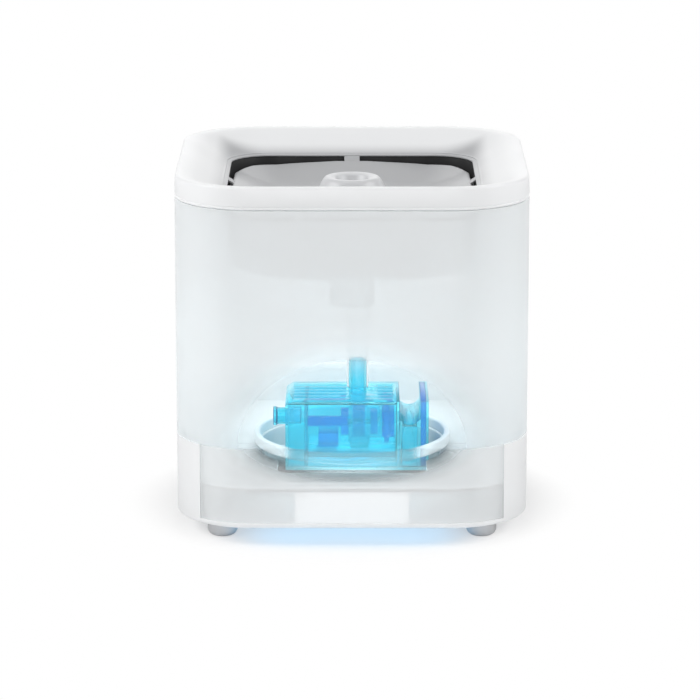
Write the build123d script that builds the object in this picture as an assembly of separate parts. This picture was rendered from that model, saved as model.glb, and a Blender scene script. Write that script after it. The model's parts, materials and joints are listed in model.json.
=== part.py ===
from build123d import *
import math
import os

# Pet water fountain, in millimetres. +Z is up, the floor is z = 0, the front faces -Y.
# A tank nests in a base on four feet. A cover with a drinking tray sits on the tank,
# a filter housing hangs under the tray, and a small pump stands in a well in the tank floor.

# ---------------------------------------------------------------- outline and heights
body_half = 87.5             # half the outer width of tank and base
body_corner = 39.5           # plan radius of their corners
foot_height = 9.0
base_height = 40.2
tank_height = 119.0          # from the seam with the base to the tank's top edge
cover_height = 11.2
seat_gap = 0.3               # between a part that lifts off and what it rests on
seam = 0.15                  # around panels and lenses set into the base
over = 1.0                   # how far a cut runs past the face it opens
weld = 0.5                   # how far two joined shapes run into each other

base_low = foot_height
base_high = base_low + base_height
tank_low = base_high + seat_gap
tank_high = tank_low + tank_height
cover_low = tank_high + seat_gap
cover_high = cover_low + cover_height

# ---------------------------------------------------------------- base
base_wall = 2.0
base_edge_round = 1.6
deck_thickness = 2.0
nest_depth = 20.0            # how far the tank reaches down into the base
nest_clearance = 0.5
bottom_thickness = 2.5
panel_half_width = 75.0      # front window, from corner to corner
panel_rail = 2.7             # height of the base's rail under the window
bottom_plate_gap = 0.2       # between the bottom plate and the wall round it
light_slot_half_width = 37.5  # the deck's notch that lets light and sight into the well
light_slot_depth = 7.0       # how far the notch reaches beyond the well's hole
light_slot_corner = 5.0

base_inner_half = body_half - base_wall
base_inner_corner = body_corner - base_wall
deck_high = tank_low - nest_depth - seat_gap
deck_low = deck_high - deck_thickness
bottom_high = base_low + bottom_thickness
panel_low = base_low + panel_rail

foot_radius = 7.5
foot_round = 3.6
foot_stem_radius = 3.0
foot_stem_clearance = 0.1
foot_stem_reach = 1.0        # above the bottom plate
foot_inset = 23.0            # from the base's outer side to a foot's centre
foot_centre = body_half - foot_inset

screw_shank_radius = 1.5
screw_head_radius = 3.0
screw_head_height = 1.5
screw_length = 12.0
screw_clearance = 0.2
screw_hole_clearance = 0.05
screw_hole_spare = 1.0       # the hole is deeper than the screw by this
driver_slot_width = 0.8
driver_slot_length = 4.0
driver_slot_depth = 0.7
screw_boss_radius = 3.8
screw_inset_x = 17.5
screw_y = 30.0
screw_x = body_half - screw_inset_x

# ---------------------------------------------------------------- base electronics
light_box_half_width = 28.0
light_box_depth = 24.5
light_box_wall = 1.5
light_box_gap = 0.5          # between the light box and the wall in front of it
lens_half_width = 20.0
lens_depth = 14.0
lens_flange = 1.5
lens_flange_thickness = 0.8
led_count = 3
led_pitch = 14.0
led_size = 3.5
led_height = 1.2
led_board_thickness = 1.2
led_board_margin = 4.0

carrier_radius = 38.0
carrier_roof = 1.5
carrier_rim = 1.4
ferrite_thickness = 1.6
coil_outer_radius = 34.0
coil_inner_radius = 15.0
coil_thickness = 2.2
coil_gap = 0.2               # under the carrier's roof

board_half_width = 38.0
board_depth = 26.0
board_thickness = 1.6
board_post_height = 1.6
board_post_radius = 2.5
board_post_inset = 4.0
board_rear_margin = 3.5
board_round_parts = (        # x, distance from the board's front edge, radius, height
    (-24.0, 8.0, 4.0, 7.5),  # storage capacitor
    (22.0, 9.0, 5.5, 5.0),   # choke
)
board_flat_parts = (         # x and distance from the front edge of a corner, length, width, height
    (-13.0, 3.0, 8.0, 8.0, 1.2),
    (2.0, 4.0, 8.0, 5.0, 1.8),
)

socket_width = 9.0
socket_height = 11.0
socket_depth = 13.5
socket_recess = 0.3
socket_bore_radius = 3.2
socket_bore_depth = 9.5
socket_pin_radius = 1.0
socket_pin_length = 8.0

# ---------------------------------------------------------------- tank
tank_wall = 2.2
tank_floor = 2.0
well_margin = 7.5            # from the pump's right end to the well's wall
well_depth = 10.7
nest_edge_round = 3.0
deck_hole_clearance = 0.8    # between the well and the deck's hole round it
ring_gap = 0.7
ring_width = 3.0
ring_height = 5.5
ring_round = 1.2

nest_half = base_inner_half - nest_clearance
nest_corner = base_inner_corner - nest_clearance
tank_inner_half = body_half - tank_wall
tank_inner_corner = body_corner - tank_wall
nest_low = tank_low - nest_depth
floor_high = nest_low + tank_floor
well_high = floor_high - well_depth
well_low = well_high - tank_floor

# ---------------------------------------------------------------- cover and tray
cover_draft = 0.2            # how far the band leans in from bottom to top
band_wall = 2.2
ceiling_thickness = 2.4
rim_half = 62.4              # lower edge of the sloping rim, the slot's outer side
rim_corner = 20.0
rim_drop = 11.1              # from the cover's top to that edge
rim_edge_thickness = 0.6
rim_start_inset = 1.2        # from the cover's top outline to where the slope begins
rim_fall = (                 # share of the way in, share of the drop
    (0.0, 0.0), (0.14, 0.03), (0.30, 0.16), (0.50, 0.42), (0.72, 0.74), (0.88, 0.93), (1.0, 1.0),
)
band_edge_round = 1.0
slot_gap = 2.0               # between rim edge and tray edge at the middle of a side
tray_corner = 30.0
tray_step = 2.65             # the tray's edge lies this far below the rim's edge
tray_wall = 2.2
tray_depth = 7.5
tray_floor_half = 42.0
tray_floor_corner = 12.0
tray_lip = 1.8
tray_edge_height = 1.0       # upright edge round the tray
bridge_width = 8.0
bridge_thickness = 2.0
bridge_hook = 0.9            # how far a bridge runs in under the rim
bridge_root = 1.2            # how far it runs into the tray's edge
bridge_sink = 0.05           # how deep its hooked end sinks into the rim's edge
bridge_proud = 0.1           # how far that end stands proud on the slope
skirt_depth = 2.3            # how far the locating skirt reaches into the tank
skirt_wall = 1.5
skirt_clearance = 0.4
corner_rib_reach = 6.0       # corner ribs below the skirt
corner_rib_width = 1.4
corner_rib_depth = 4.0
corner_rib_gap = 0.1         # behind the skirt's outer side
tab_root = 1.0               # how far ribs and clips run up into the skirt
clip_offset = 25.5
clip_width = 3.0
clip_reach = 4.0

tray_half = rim_half - slot_gap
rim_edge_high = cover_high - rim_drop
tray_high = rim_edge_high - tray_step
tray_floor_high = tray_high - tray_depth
tray_floor_low = tray_floor_high - tray_wall
cover_top_half = body_half - cover_draft
cover_top_corner = body_corner - cover_draft
skirt_half = tank_inner_half - skirt_clearance
skirt_corner = tank_inner_corner - skirt_clearance
skirt_low = tank_high - skirt_depth

# ---------------------------------------------------------------- spout
spout_base_radius = 18.6
spout_lip_radius = 15.0
spout_height = 10.6          # from the tray floor to the lip
spout_crater_radius = 8.4
spout_lip_round = 1.6
spout_wall = 1.8
spout_roof_inset = 0.6       # of the hollow's roof, inside the wall at the lip
spout_shoulder_out = 1.0     # how far the flank still stands out beyond the lip
spout_shoulder_share = 0.62  # height of that point, as a share of the spout's
spout_crest_out = 0.6        # how far the crest lies outside the lip's middle
spout_throat_drop = 3.84     # from the crest to where the bore begins
plug_radius = 8.9
plug_bore_radius = 7.2
plug_reach = 9.0             # below the tray floor's top
plug_clearance = 0.3

# ---------------------------------------------------------------- filter housing
collar_clearance = 0.4       # between the housing and the collar it hangs in
collar_wall = 1.8
collar_height = 7.5
collar_root = 1.5            # how far the collar runs up into the rim
housing_wall = 1.8
housing_floor = 2.0
housing_outset = 1.6         # how far the housing stands out beyond the rim's lower edge
housing_height = 31.0
housing_top_gap = 1.9        # from the collar's lower end to the housing's top
housing_draft = 0.1          # inward lean per millimetre of depth
housing_round = 6.0
gasket_wall = 1.2
hub_outer_radius = 11.4
hub_bore_radius = 9.2
hub_drop = 24.4              # how far the hub reaches below the housing
hub_top_gap = 0.5
drain_radius = 2.4
drain_ring_radii = (22.0, 36.0)
drain_ring_counts = (10, 16)

housing_half = rim_half + housing_outset
housing_corner = rim_corner + housing_outset
collar_half = housing_half + collar_clearance
collar_corner = housing_corner + collar_clearance
collar_high = rim_edge_high - rim_edge_thickness
collar_low = collar_high - collar_height
housing_high = collar_low - housing_top_gap
housing_low = housing_high - housing_height
gasket_high = collar_high - seat_gap
hub_low = housing_low - hub_drop
hub_high = tray_floor_low - hub_top_gap

# ---------------------------------------------------------------- filter cartridge
cartridge_side_gap = 0.3     # to the end of the housing's inner bottom round
cartridge_hole_gap = 0.6     # round the hub
cartridge_gap = 0.4          # to the housing and the tray
fleece_thickness = 3.5
carbon_thickness = 13.0
frame_wall = 1.6
frame_rib = 2.0
frame_bar_width = 2.0
frame_hub_width = 2.5        # of the ring round the hole
foam_overlap_gap = 0.4

housing_inset = housing_draft * housing_height + housing_wall + housing_round - housing_floor
cartridge_half = housing_half - housing_inset - cartridge_side_gap
cartridge_corner = housing_corner - housing_inset - cartridge_side_gap
cartridge_hole_radius = hub_outer_radius + cartridge_hole_gap
cartridge_low = housing_low + housing_floor
fleece_high = cartridge_low + fleece_thickness
carbon_high = fleece_high + carbon_thickness
frame_high = carbon_high + frame_rib
foam_high = tray_floor_low - cartridge_gap

# ---------------------------------------------------------------- pump
pump_x = 2.9                 # outlet axis
pump_low = well_high + seat_gap
pump_depth = 43.4
pump_height = 36.0
outlet_from_left = 36.8      # from the casing's left side to the outlet axis
casing_length = 57.9
casing_wall = 1.6
casing_chamfer = 2.4
casing_chamfer_run = 3.84
casing_roof_extra = 0.4      # the grille's roof is thicker than the walls by this
foot_plate_thickness = 2.0
grille_slot_width = 3.0
grille_bar_width = 3.4
grille_slot_count = 5
grille_margin = 4.0
grille_right_length = 7.5
grille_outlet_margin = 1.5   # between the slots and the outlet pipe
base_plate_corner = 1.5

bracket_length = 15.0
saddle_width = 10.3
saddle_depth = 12.0
saddle_radius = 5.8
saddle_gap = 0.2             # from the casing to the notch
end_plate_thickness = 2.6
end_plate_gap = 0.1
bracket_skin = 1.3

shaft_height = 20.4          # of the shaft's axis above the pump's underside
shaft_radius = 1.2
shaft_clearance = 0.06
bearing_radius = 2.6
bearing_length = 1.0
eye_bearing_length = 1.2
shaft_front_reach = 1.0      # before the chamber
shaft_end_gap = 0.1

chamber_radius = 9.2
chamber_wall = 1.3
chamber_before = 4.7         # from the outlet axis to the chamber's front face
chamber_after = 6.1
can_radius = 7.0
can_length = 6.0
can_wall = 0.8
eye_radius = 2.4
impeller_radius = 8.3
impeller_blades = 6
blade_thickness = 1.0
blade_length = 5.2
blade_root = 0.6             # how far a blade runs into the wheel's hub
blade_tip_gap = 0.3          # from a blade's end to the wheel's edge
impeller_hub_radius = 2.4
impeller_disc_thickness = 1.2
impeller_clearance = 0.7
magnet_radius = 6.2
magnet_length = 3.5
magnet_clearance = 0.4        # from the chamber's back wall

outlet_radius = 4.5
outlet_bore_radius = 3.3
outlet_rise = 17.7           # above the casing
outlet_chamfer = 0.8

inlet_radius = 4.3
inlet_bore_radius = 3.3
inlet_height = 23.2          # axis above the pump's underside
inlet_reach = 6.5            # outside the casing
inlet_lip_radius = 4.9
inlet_lip_length = 1.8
inlet_inside = 7.6

bulkhead_from_left = 9.8
bulkhead_thickness = 1.5
suction_radius = 2.6
suction_bore_radius = 1.7
suction_flange_radius = 6.6
suction_flange_thickness = 4.0

stator_half = 6.3
stator_length = 6.4
stator_gap = 0.2
stator_slot = 2.4
stator_yoke = 2.0
winding_start = 1.2          # from the core's front face
winding_length = 2.4
winding_radius = 10.2
cradle_side_gap = 0.8        # from the chamber's faces to the cradle's

module_length = 10.2
module_height = 6.7
module_half_depth = 8.0
module_from_bulkhead = 5.4
tray_plate_thickness = 2.8
tray_plate_from_floor = 4.6
receiver_thickness = 1.8
receiver_outer_radius = 17.0
receiver_inner_radius = 7.0

riser_outer_radius = 5.6
riser_clearance = 0.1
riser_low_gap = 3.0
riser_reach = 14.5           # how far the riser stands up inside the hub
adapter_height = 14.0
adapter_clearance = 0.1

casing_left = pump_x - outlet_from_left
casing_right = casing_left + casing_length
casing_low = pump_low + foot_plate_thickness
pump_high = pump_low + pump_height
bracket_right = casing_right + bracket_length
well_radius = bracket_right + well_margin
well_outer_radius = well_radius + tank_wall
deck_hole_radius = well_outer_radius + deck_hole_clearance
ring_inner_radius = well_radius + ring_gap
ring_outer_radius = ring_inner_radius + ring_width
shaft_z = pump_low + shaft_height
inlet_z = pump_low + inlet_height
chamber_left = pump_x - chamber_before
chamber_right = pump_x + chamber_after
can_right = chamber_right + can_length
bulkhead_left = casing_left + bulkhead_from_left
bulkhead_right = bulkhead_left + bulkhead_thickness
outlet_high = pump_high + outlet_rise
riser_high = hub_low + riser_reach


# ---------------------------------------------------------------- small helpers
def outline(half, corner, z):
    """Rounded square of one half width and corner radius, at height z."""
    return Plane.XY.offset(z) * RectangleRounded(2 * half, 2 * half, corner)


def prism(half, corner, low, high):
    return extrude(outline(half, corner, low), amount=high - low)


def ring_prism(half, corner, wall, low, high):
    return prism(half, corner, low, high) - prism(half - wall, corner - wall, low, high)


def cylinder_up(radius, low, high, x=0.0, y=0.0):
    return Pos(x, y, (low + high) / 2) * Cylinder(radius, high - low)


def cylinder_along_x(radius, left, right, z, y=0.0):
    turned = Rot(0, 90, 0) * Cylinder(radius, right - left)
    return Pos((left + right) / 2, y, z) * turned


def block(x_low, x_high, y_low, y_high, z_low, z_high):
    centre = Pos((x_low + x_high) / 2, (y_low + y_high) / 2, (z_low + z_high) / 2)
    return centre * Box(x_high - x_low, y_high - y_low, z_high - z_low)


def edges_at_height(solid, z, tolerance=0.01):
    return [
        edge for edge in solid.edges()
        if abs(edge.bounding_box().min.Z - z) < tolerance
        and abs(edge.bounding_box().max.Z - z) < tolerance
    ]


def both_signs(x, y):
    return [(sx * x, sy * y) for sx in (-1, 1) for sy in (-1, 1)]


# ---------------------------------------------------------------- base
def window_band(half_width, low, high, outside=0.0):
    """The stretch of the base's wall between two upright lines at the front corners."""
    wall = prism(body_half + outside, body_corner + outside, low, high)
    wall -= prism(base_inner_half, base_inner_corner, low, high)
    front = block(-half_width, half_width, -body_half - outside - over, -base_inner_half / 2, low, high)
    return wall & front


def light_slot():
    """The notch in the deck, from the well's hole towards the window."""
    reach = deck_hole_radius + light_slot_depth
    notch = Plane.XY.offset(deck_low) * RectangleRounded(
        2 * light_slot_half_width, 2 * reach, light_slot_corner)
    front = block(-body_half, body_half, -body_half, 0, deck_low, deck_high)
    return extrude(notch, amount=deck_high - deck_low) & front


def base_housing():
    housing = prism(body_half, body_corner, base_low, base_high)
    housing = fillet(edges_at_height(housing, base_low), base_edge_round)
    housing -= prism(base_inner_half, base_inner_corner, deck_high, base_high)
    housing -= prism(base_inner_half, base_inner_corner, base_low, deck_low)
    housing -= cylinder_up(deck_hole_radius, deck_low, deck_high)
    housing -= light_slot()
    for x, y in both_signs(screw_x, screw_y):
        housing += cylinder_up(screw_boss_radius, bottom_high, deck_low, x, y)
        hole_high = base_low + screw_length + screw_hole_spare
        housing -= cylinder_up(screw_shank_radius + screw_hole_clearance, bottom_high, hole_high, x, y)
    housing -= window_band(panel_half_width, panel_low, base_high, outside=over)
    socket_low = bottom_high + board_post_height + board_thickness
    housing -= block(
        -socket_width / 2 - seam, socket_width / 2 + seam,
        base_inner_half - over, body_half + over,
        socket_low - seam, socket_low + socket_height + seam,
    )
    return housing


def front_panel():
    return window_band(panel_half_width - seam, panel_low + seam, base_high)


def board_posts():
    y_rear = base_inner_half - board_rear_margin - board_post_inset
    y_front = base_inner_half - board_rear_margin - board_depth + board_post_inset
    x = board_half_width - board_post_inset
    return [(sx * x, y) for sx in (-1, 1) for y in (y_front, y_rear)]


def lens_centre_y():
    return -base_inner_half + light_box_gap + light_box_depth / 2


def bottom_plate():
    half = base_inner_half - bottom_plate_gap
    plate = prism(half, base_inner_corner - bottom_plate_gap, base_low, bottom_high)
    for x, y in both_signs(foot_centre, foot_centre):
        plate -= cylinder_up(foot_stem_radius + foot_stem_clearance, base_low, bottom_high, x, y)
    for x, y in both_signs(screw_x, screw_y):
        plate -= cylinder_up(screw_shank_radius + screw_clearance, base_low, bottom_high, x, y)
        sink_radius = screw_head_radius + screw_clearance
        sink = Cone(sink_radius, screw_shank_radius + screw_clearance, screw_head_height)
        plate -= Pos(x, y, base_low + screw_head_height / 2) * sink
    plate -= block(
        -lens_half_width - seam, lens_half_width + seam,
        lens_centre_y() - lens_depth / 2 - seam, lens_centre_y() + lens_depth / 2 + seam,
        base_low, bottom_high,
    )
    for x, y in board_posts():
        plate += cylinder_up(board_post_radius, bottom_high, bottom_high + board_post_height, x, y)
    return plate


def foot(x, y):
    pad = cylinder_up(foot_radius, 0, foot_height, x, y)
    pad = fillet(edges_at_height(pad, 0), foot_round)
    return pad + cylinder_up(foot_stem_radius, foot_height, bottom_high + foot_stem_reach, x, y)


def base_screws():
    screws = []
    width = driver_slot_width / 2
    length = driver_slot_length / 2
    slot_high = base_low + driver_slot_depth
    for x, y in both_signs(screw_x, screw_y):
        head = Cone(screw_head_radius, screw_shank_radius, screw_head_height)
        screw = Pos(x, y, base_low + screw_head_height / 2) * head
        screw += cylinder_up(screw_shank_radius, base_low + screw_head_height, base_low + screw_length, x, y)
        screw -= block(x - width, x + width, y - length, y + length, base_low, slot_high)
        screw -= block(x - length, x + length, y - width, y + width, base_low, slot_high)
        screws.append(screw)
    return Compound(children=screws)


def light_box_span(inset):
    """The light box's plan, shrunk on all four sides by an inset."""
    centre = lens_centre_y()
    reach = light_box_depth / 2 - inset
    return (-light_box_half_width + inset, light_box_half_width - inset, centre - reach, centre + reach)


def light_box():
    box = block(*light_box_span(0), bottom_high, deck_low)
    return box - block(*light_box_span(light_box_wall), bottom_high, deck_low - light_box_wall)


def led_board():
    high = deck_low - light_box_wall
    low = high - led_board_thickness
    board = block(*light_box_span(led_board_margin), low, high)
    for index in range(led_count):
        x = (index - (led_count - 1) / 2) * led_pitch
        y = lens_centre_y()
        half = led_size / 2
        board += block(x - half, x + half, y - half, y + half, low - led_height, low)
    return board


def glow_lens():
    y = lens_centre_y()
    half = lens_depth / 2
    lens = block(-lens_half_width, lens_half_width, y - half, y + half, base_low, bottom_high)
    flange_x = lens_half_width + lens_flange
    flange_y = half + lens_flange
    flange_high = bottom_high + lens_flange_thickness
    return lens + block(-flange_x, flange_x, y - flange_y, y + flange_y, bottom_high, flange_high)


def coil_carrier():
    """A shallow cap over the coil, open towards the bottom plate."""
    roof_low = bottom_high + ferrite_thickness + coil_thickness + coil_gap
    carrier = cylinder_up(carrier_radius, bottom_high, roof_low + carrier_roof)
    return carrier - cylinder_up(carrier_radius - carrier_rim, bottom_high, roof_low)


def ferrite_plate():
    radius = carrier_radius - carrier_rim - seam
    return cylinder_up(radius, bottom_high, bottom_high + ferrite_thickness)


def transmitter_coil():
    low = bottom_high + ferrite_thickness
    coil = cylinder_up(coil_outer_radius, low, low + coil_thickness)
    return coil - cylinder_up(coil_inner_radius, low, low + coil_thickness)


def control_board():
    low = bottom_high + board_post_height
    high = low + board_thickness
    y_rear = base_inner_half - board_rear_margin
    y_front = y_rear - board_depth
    board = block(-board_half_width, board_half_width, y_front, y_rear, low, high)
    for x, y, radius, height in board_round_parts:
        board += cylinder_up(radius, high, high + height, x, y_front + y)
    for x, y, length, width, height in board_flat_parts:
        board += block(x, x + length, y_front + y, y_front + y + width, high, high + height)
    return board


def socket_frame():
    """Rear face, underside and axis height of the power socket."""
    low = bottom_high + board_post_height + board_thickness
    return body_half - socket_recess, low, low + socket_height / 2


def power_socket():
    rear, low, axis = socket_frame()
    half = socket_width / 2
    body = block(-half, half, rear - socket_depth, rear, low, low + socket_height)
    bore = Rot(90, 0, 0) * Cylinder(socket_bore_radius, socket_bore_depth)
    return body - Pos(0, rear - socket_bore_depth / 2, axis) * bore


def socket_pin():
    rear, low, axis = socket_frame()
    pin = Rot(90, 0, 0) * Cylinder(socket_pin_radius, socket_pin_length)
    return Pos(0, rear - socket_bore_depth + socket_pin_length / 2, axis) * pin


# ---------------------------------------------------------------- tank
def tank_shell():
    nest = prism(nest_half, nest_corner, nest_low, tank_low)
    nest = fillet(edges_at_height(nest, nest_low), nest_edge_round)
    shell = prism(body_half, body_corner, tank_low, tank_high) + nest
    shell += cylinder_up(well_outer_radius, well_low, nest_low + weld)
    shoulder = tank_low + tank_wall
    shell -= prism(tank_inner_half, tank_inner_corner, shoulder, tank_high)
    shell -= prism(nest_half - tank_wall, nest_corner - tank_wall, floor_high, shoulder)
    shell -= cylinder_up(well_radius, well_high, floor_high)
    return shell


def locating_ring():
    ring = cylinder_up(ring_outer_radius, floor_high, floor_high + ring_height)
    ring -= cylinder_up(ring_inner_radius, floor_high, floor_high + ring_height)
    return fillet(edges_at_height(ring, floor_high + ring_height), ring_round)


# ---------------------------------------------------------------- cover
def rim_profile():
    """Half width, corner radius and height of the rim's upper side, from outside in."""
    start_half = cover_top_half - rim_start_inset
    start_corner = cover_top_corner - rim_start_inset
    points = []
    for inward, drop in rim_fall:
        half = start_half + (rim_half - start_half) * inward
        corner = start_corner + (rim_corner - start_corner) * inward
        points.append((half, corner, cover_high - rim_drop * drop))
    return points


def rim_underside():
    """The same slope, lower by the rim's thickness, which thins out to its edge."""
    points = []
    profile = rim_profile()
    for index, (half, corner, z) in enumerate(profile):
        share = index / (len(profile) - 1)
        thickness = ceiling_thickness + (rim_edge_thickness - ceiling_thickness) * share ** 3
        points.append((half, corner, z - thickness))
    return points


def lofted(points):
    """A solid through a stack of rounded squares, lowest first."""
    return loft([outline(half, corner, z) for half, corner, z in sorted(points, key=lambda p: p[2])])


def rim():
    band = loft([
        outline(body_half, body_corner, cover_low),
        outline(cover_top_half, cover_top_corner, cover_high),
    ])
    band = fillet(edges_at_height(band, cover_high), band_edge_round)
    cavity_high = cover_high - ceiling_thickness
    cavity = prism(body_half - band_wall, body_corner - band_wall, cover_low, cavity_high)
    underside = lofted(rim_underside())
    top = lofted(rim_profile())
    lip = underside & prism(body_half, body_corner, rim_edge_high - rim_edge_thickness, cover_low)
    band = band - (cavity - underside)
    band += lip
    band -= top
    below_edge = rim_edge_high - rim_edge_thickness - over
    return band - prism(rim_half, rim_corner, below_edge, cover_high)


def tray():
    outer = loft([
        outline(tray_floor_half + tray_wall, tray_floor_corner + tray_wall, tray_floor_low),
        outline(tray_half, tray_corner, tray_high - tray_edge_height),
    ], ruled=True)
    outer += prism(tray_half, tray_corner, tray_high - tray_edge_height, tray_high)
    inner = loft([
        outline(tray_floor_half, tray_floor_corner, tray_floor_high),
        outline(tray_half - tray_lip, tray_corner - tray_lip, tray_high),
    ], ruled=True)
    dish = outer - inner
    return dish - cylinder_up(plug_radius + plug_clearance, tray_floor_low, tray_floor_high)


def bridge():
    """One link across the slot, sloping from the rim's edge down to the tray's edge."""
    low = tray_high - bridge_thickness
    hook_low = rim_edge_high - rim_edge_thickness + bridge_sink
    side = Plane.YZ * Polygon(
        (tray_half - bridge_root, low),
        (rim_half, low),
        (rim_half, hook_low),
        (rim_half + bridge_hook, hook_low),
        (rim_half + bridge_hook, rim_edge_high + bridge_proud),
        (rim_half, rim_edge_high - bridge_sink),
        (tray_half, tray_high),
        (tray_half - bridge_root, tray_high),
        align=None,
    )
    return extrude(side, amount=bridge_width / 2, both=True)


def top_cover():
    cover = rim() + tray()
    for turn in range(4):
        cover += Rot(0, 0, 90 * turn) * bridge()
    ceiling = cover_high - ceiling_thickness
    cover += ring_prism(skirt_half, skirt_corner, skirt_wall, skirt_low, ceiling + weld)
    outer_half = collar_half + collar_wall
    outer_corner = collar_corner + collar_wall
    cover += ring_prism(outer_half, outer_corner, collar_wall, collar_low, collar_high + collar_root)
    diagonal = (skirt_half - skirt_corner) * math.sqrt(2) + skirt_corner
    rib_low = skirt_low - corner_rib_reach
    for turn in range(4):
        rib = block(
            diagonal - corner_rib_depth, diagonal - corner_rib_gap,
            -corner_rib_width / 2, corner_rib_width / 2,
            rib_low, skirt_low + tab_root,
        )
        cover += Rot(0, 0, 45 + 90 * turn) * rib
        for side in (-1, 1):
            x = side * clip_offset
            clip = block(
                x - clip_width / 2, x + clip_width / 2,
                skirt_half - skirt_wall, skirt_half,
                skirt_low - clip_reach, skirt_low + tab_root,
            )
            cover += Rot(0, 0, 90 * turn) * clip
    return cover


def spout_cap():
    low = tray_floor_high + seat_gap
    high = tray_floor_high + spout_height
    plug_low = tray_floor_high - plug_reach
    lip_middle = (spout_lip_radius + spout_crater_radius) / 2
    inner_top = high - 2 * spout_wall
    roof_radius = spout_lip_radius - spout_wall - spout_roof_inset
    throat_high = high - spout_throat_drop
    with BuildSketch(Plane.XZ) as section:
        with BuildLine():
            Polyline((plug_bore_radius, plug_low), (plug_radius, plug_low), (plug_radius, inner_top))
            Line((plug_radius, inner_top), (roof_radius, inner_top))
            Line((roof_radius, inner_top), (spout_base_radius - spout_wall, low))
            Line((spout_base_radius - spout_wall, low), (spout_base_radius, low))
            Spline(
                (spout_base_radius, low),
                (spout_lip_radius + spout_shoulder_out, low + spout_shoulder_share * (high - low)),
                (lip_middle + spout_crest_out, high),
                (spout_crater_radius, high - spout_lip_round),
                (plug_bore_radius, throat_high),
            )
            Line((plug_bore_radius, throat_high), (plug_bore_radius, plug_low))
        make_face()
    return revolve(section.sketch, Axis.Z)


# ---------------------------------------------------------------- filter housing and cartridge
def housing_section(offset, z):
    """Outline of the housing's outside at height z, drawn in by an offset."""
    lean = housing_draft * (housing_high - z)
    return outline(housing_half - lean - offset, housing_corner - lean - offset, z)


def filter_housing():
    outer = loft([housing_section(0, housing_low), housing_section(0, housing_high)], ruled=True)
    outer = fillet(edges_at_height(outer, housing_low), housing_round)
    inner_low = housing_low + housing_floor
    inner = loft([
        housing_section(housing_wall, inner_low),
        housing_section(housing_wall, housing_high),
    ], ruled=True)
    inner = fillet(edges_at_height(inner, inner_low), housing_round - housing_floor)
    housing = outer - inner
    housing += cylinder_up(hub_outer_radius, hub_low, hub_high)
    housing -= cylinder_up(hub_bore_radius, hub_low, hub_high)
    for radius, count in zip(drain_ring_radii, drain_ring_counts):
        for index in range(count):
            angle = 2 * math.pi * index / count
            x = radius * math.cos(angle)
            y = radius * math.sin(angle)
            housing -= cylinder_up(drain_radius, housing_low, inner_low, x, y)
    return housing


def housing_gasket():
    return ring_prism(housing_half, housing_corner, gasket_wall, housing_high, gasket_high)


def cartridge_layer(half, corner, low, high):
    return prism(half, corner, low, high) - cylinder_up(cartridge_hole_radius, low, high)


def filter_fleece():
    inner = cartridge_half - frame_wall - seam
    return cartridge_layer(inner, cartridge_corner - frame_wall - seam, cartridge_low, fleece_high)


def carbon_pack():
    inner = cartridge_half - frame_wall - seam
    return cartridge_layer(inner, cartridge_corner - frame_wall - seam, fleece_high, carbon_high)


def filter_frame():
    frame = ring_prism(cartridge_half, cartridge_corner, frame_wall, cartridge_low, frame_high)
    grid = cartridge_layer(cartridge_half, cartridge_corner, carbon_high, frame_high)
    bars = cylinder_up(cartridge_hole_radius + frame_hub_width, carbon_high, frame_high)
    reach = cartridge_half * math.sqrt(2)
    width = frame_bar_width / 2
    for turn in range(4):
        bars += Rot(0, 0, 45 * turn) * block(-reach, reach, -width, width, carbon_high, frame_high)
    return frame + (grid & bars)


def filter_foam():
    lean = housing_draft * (housing_high - frame_high)
    inset = housing_wall + lean + foam_overlap_gap
    return cartridge_layer(housing_half - inset, housing_corner - inset, frame_high, foam_high)


# ---------------------------------------------------------------- pump
def grille_slots(left, right):
    """Long openings in the casing's top, side by side across its depth."""
    pitch = grille_slot_width + grille_bar_width
    slots = []
    for index in range(grille_slot_count):
        y = (index - (grille_slot_count - 1) / 2) * pitch
        slots.append(block(
            left, right, y - grille_slot_width / 2, y + grille_slot_width / 2,
            pump_high - casing_wall - casing_roof_extra - over, pump_high + over,
        ))
    return slots


def pump_casing():
    half = pump_depth / 2
    casing = block(casing_left, casing_right, -half, half, casing_low, pump_high)
    left_top = [edge for edge in edges_at_height(casing, pump_high)
                if abs(edge.center().X - casing_left) < 0.01]
    casing = chamfer(left_top, casing_chamfer, casing_chamfer_run)
    casing -= block(
        casing_left + casing_wall, casing_right - casing_wall,
        -half + casing_wall, half - casing_wall,
        casing_low, pump_high - casing_wall - casing_roof_extra,
    )
    grille_left = casing_left + grille_margin
    for slot in grille_slots(grille_left, pump_x - outlet_radius - grille_outlet_margin):
        casing -= slot
    grille_right = casing_right - 2 * casing_wall
    for slot in grille_slots(grille_right - grille_right_length, grille_right):
        casing -= slot
    roof_low = pump_high - casing_wall - casing_roof_extra - over
    casing -= cylinder_up(outlet_radius + seam, roof_low, pump_high + over, pump_x)
    wall_right = casing_left + casing_wall + over
    casing -= cylinder_along_x(inlet_radius + seam, casing_left - over, wall_right, inlet_z)
    return casing


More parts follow.
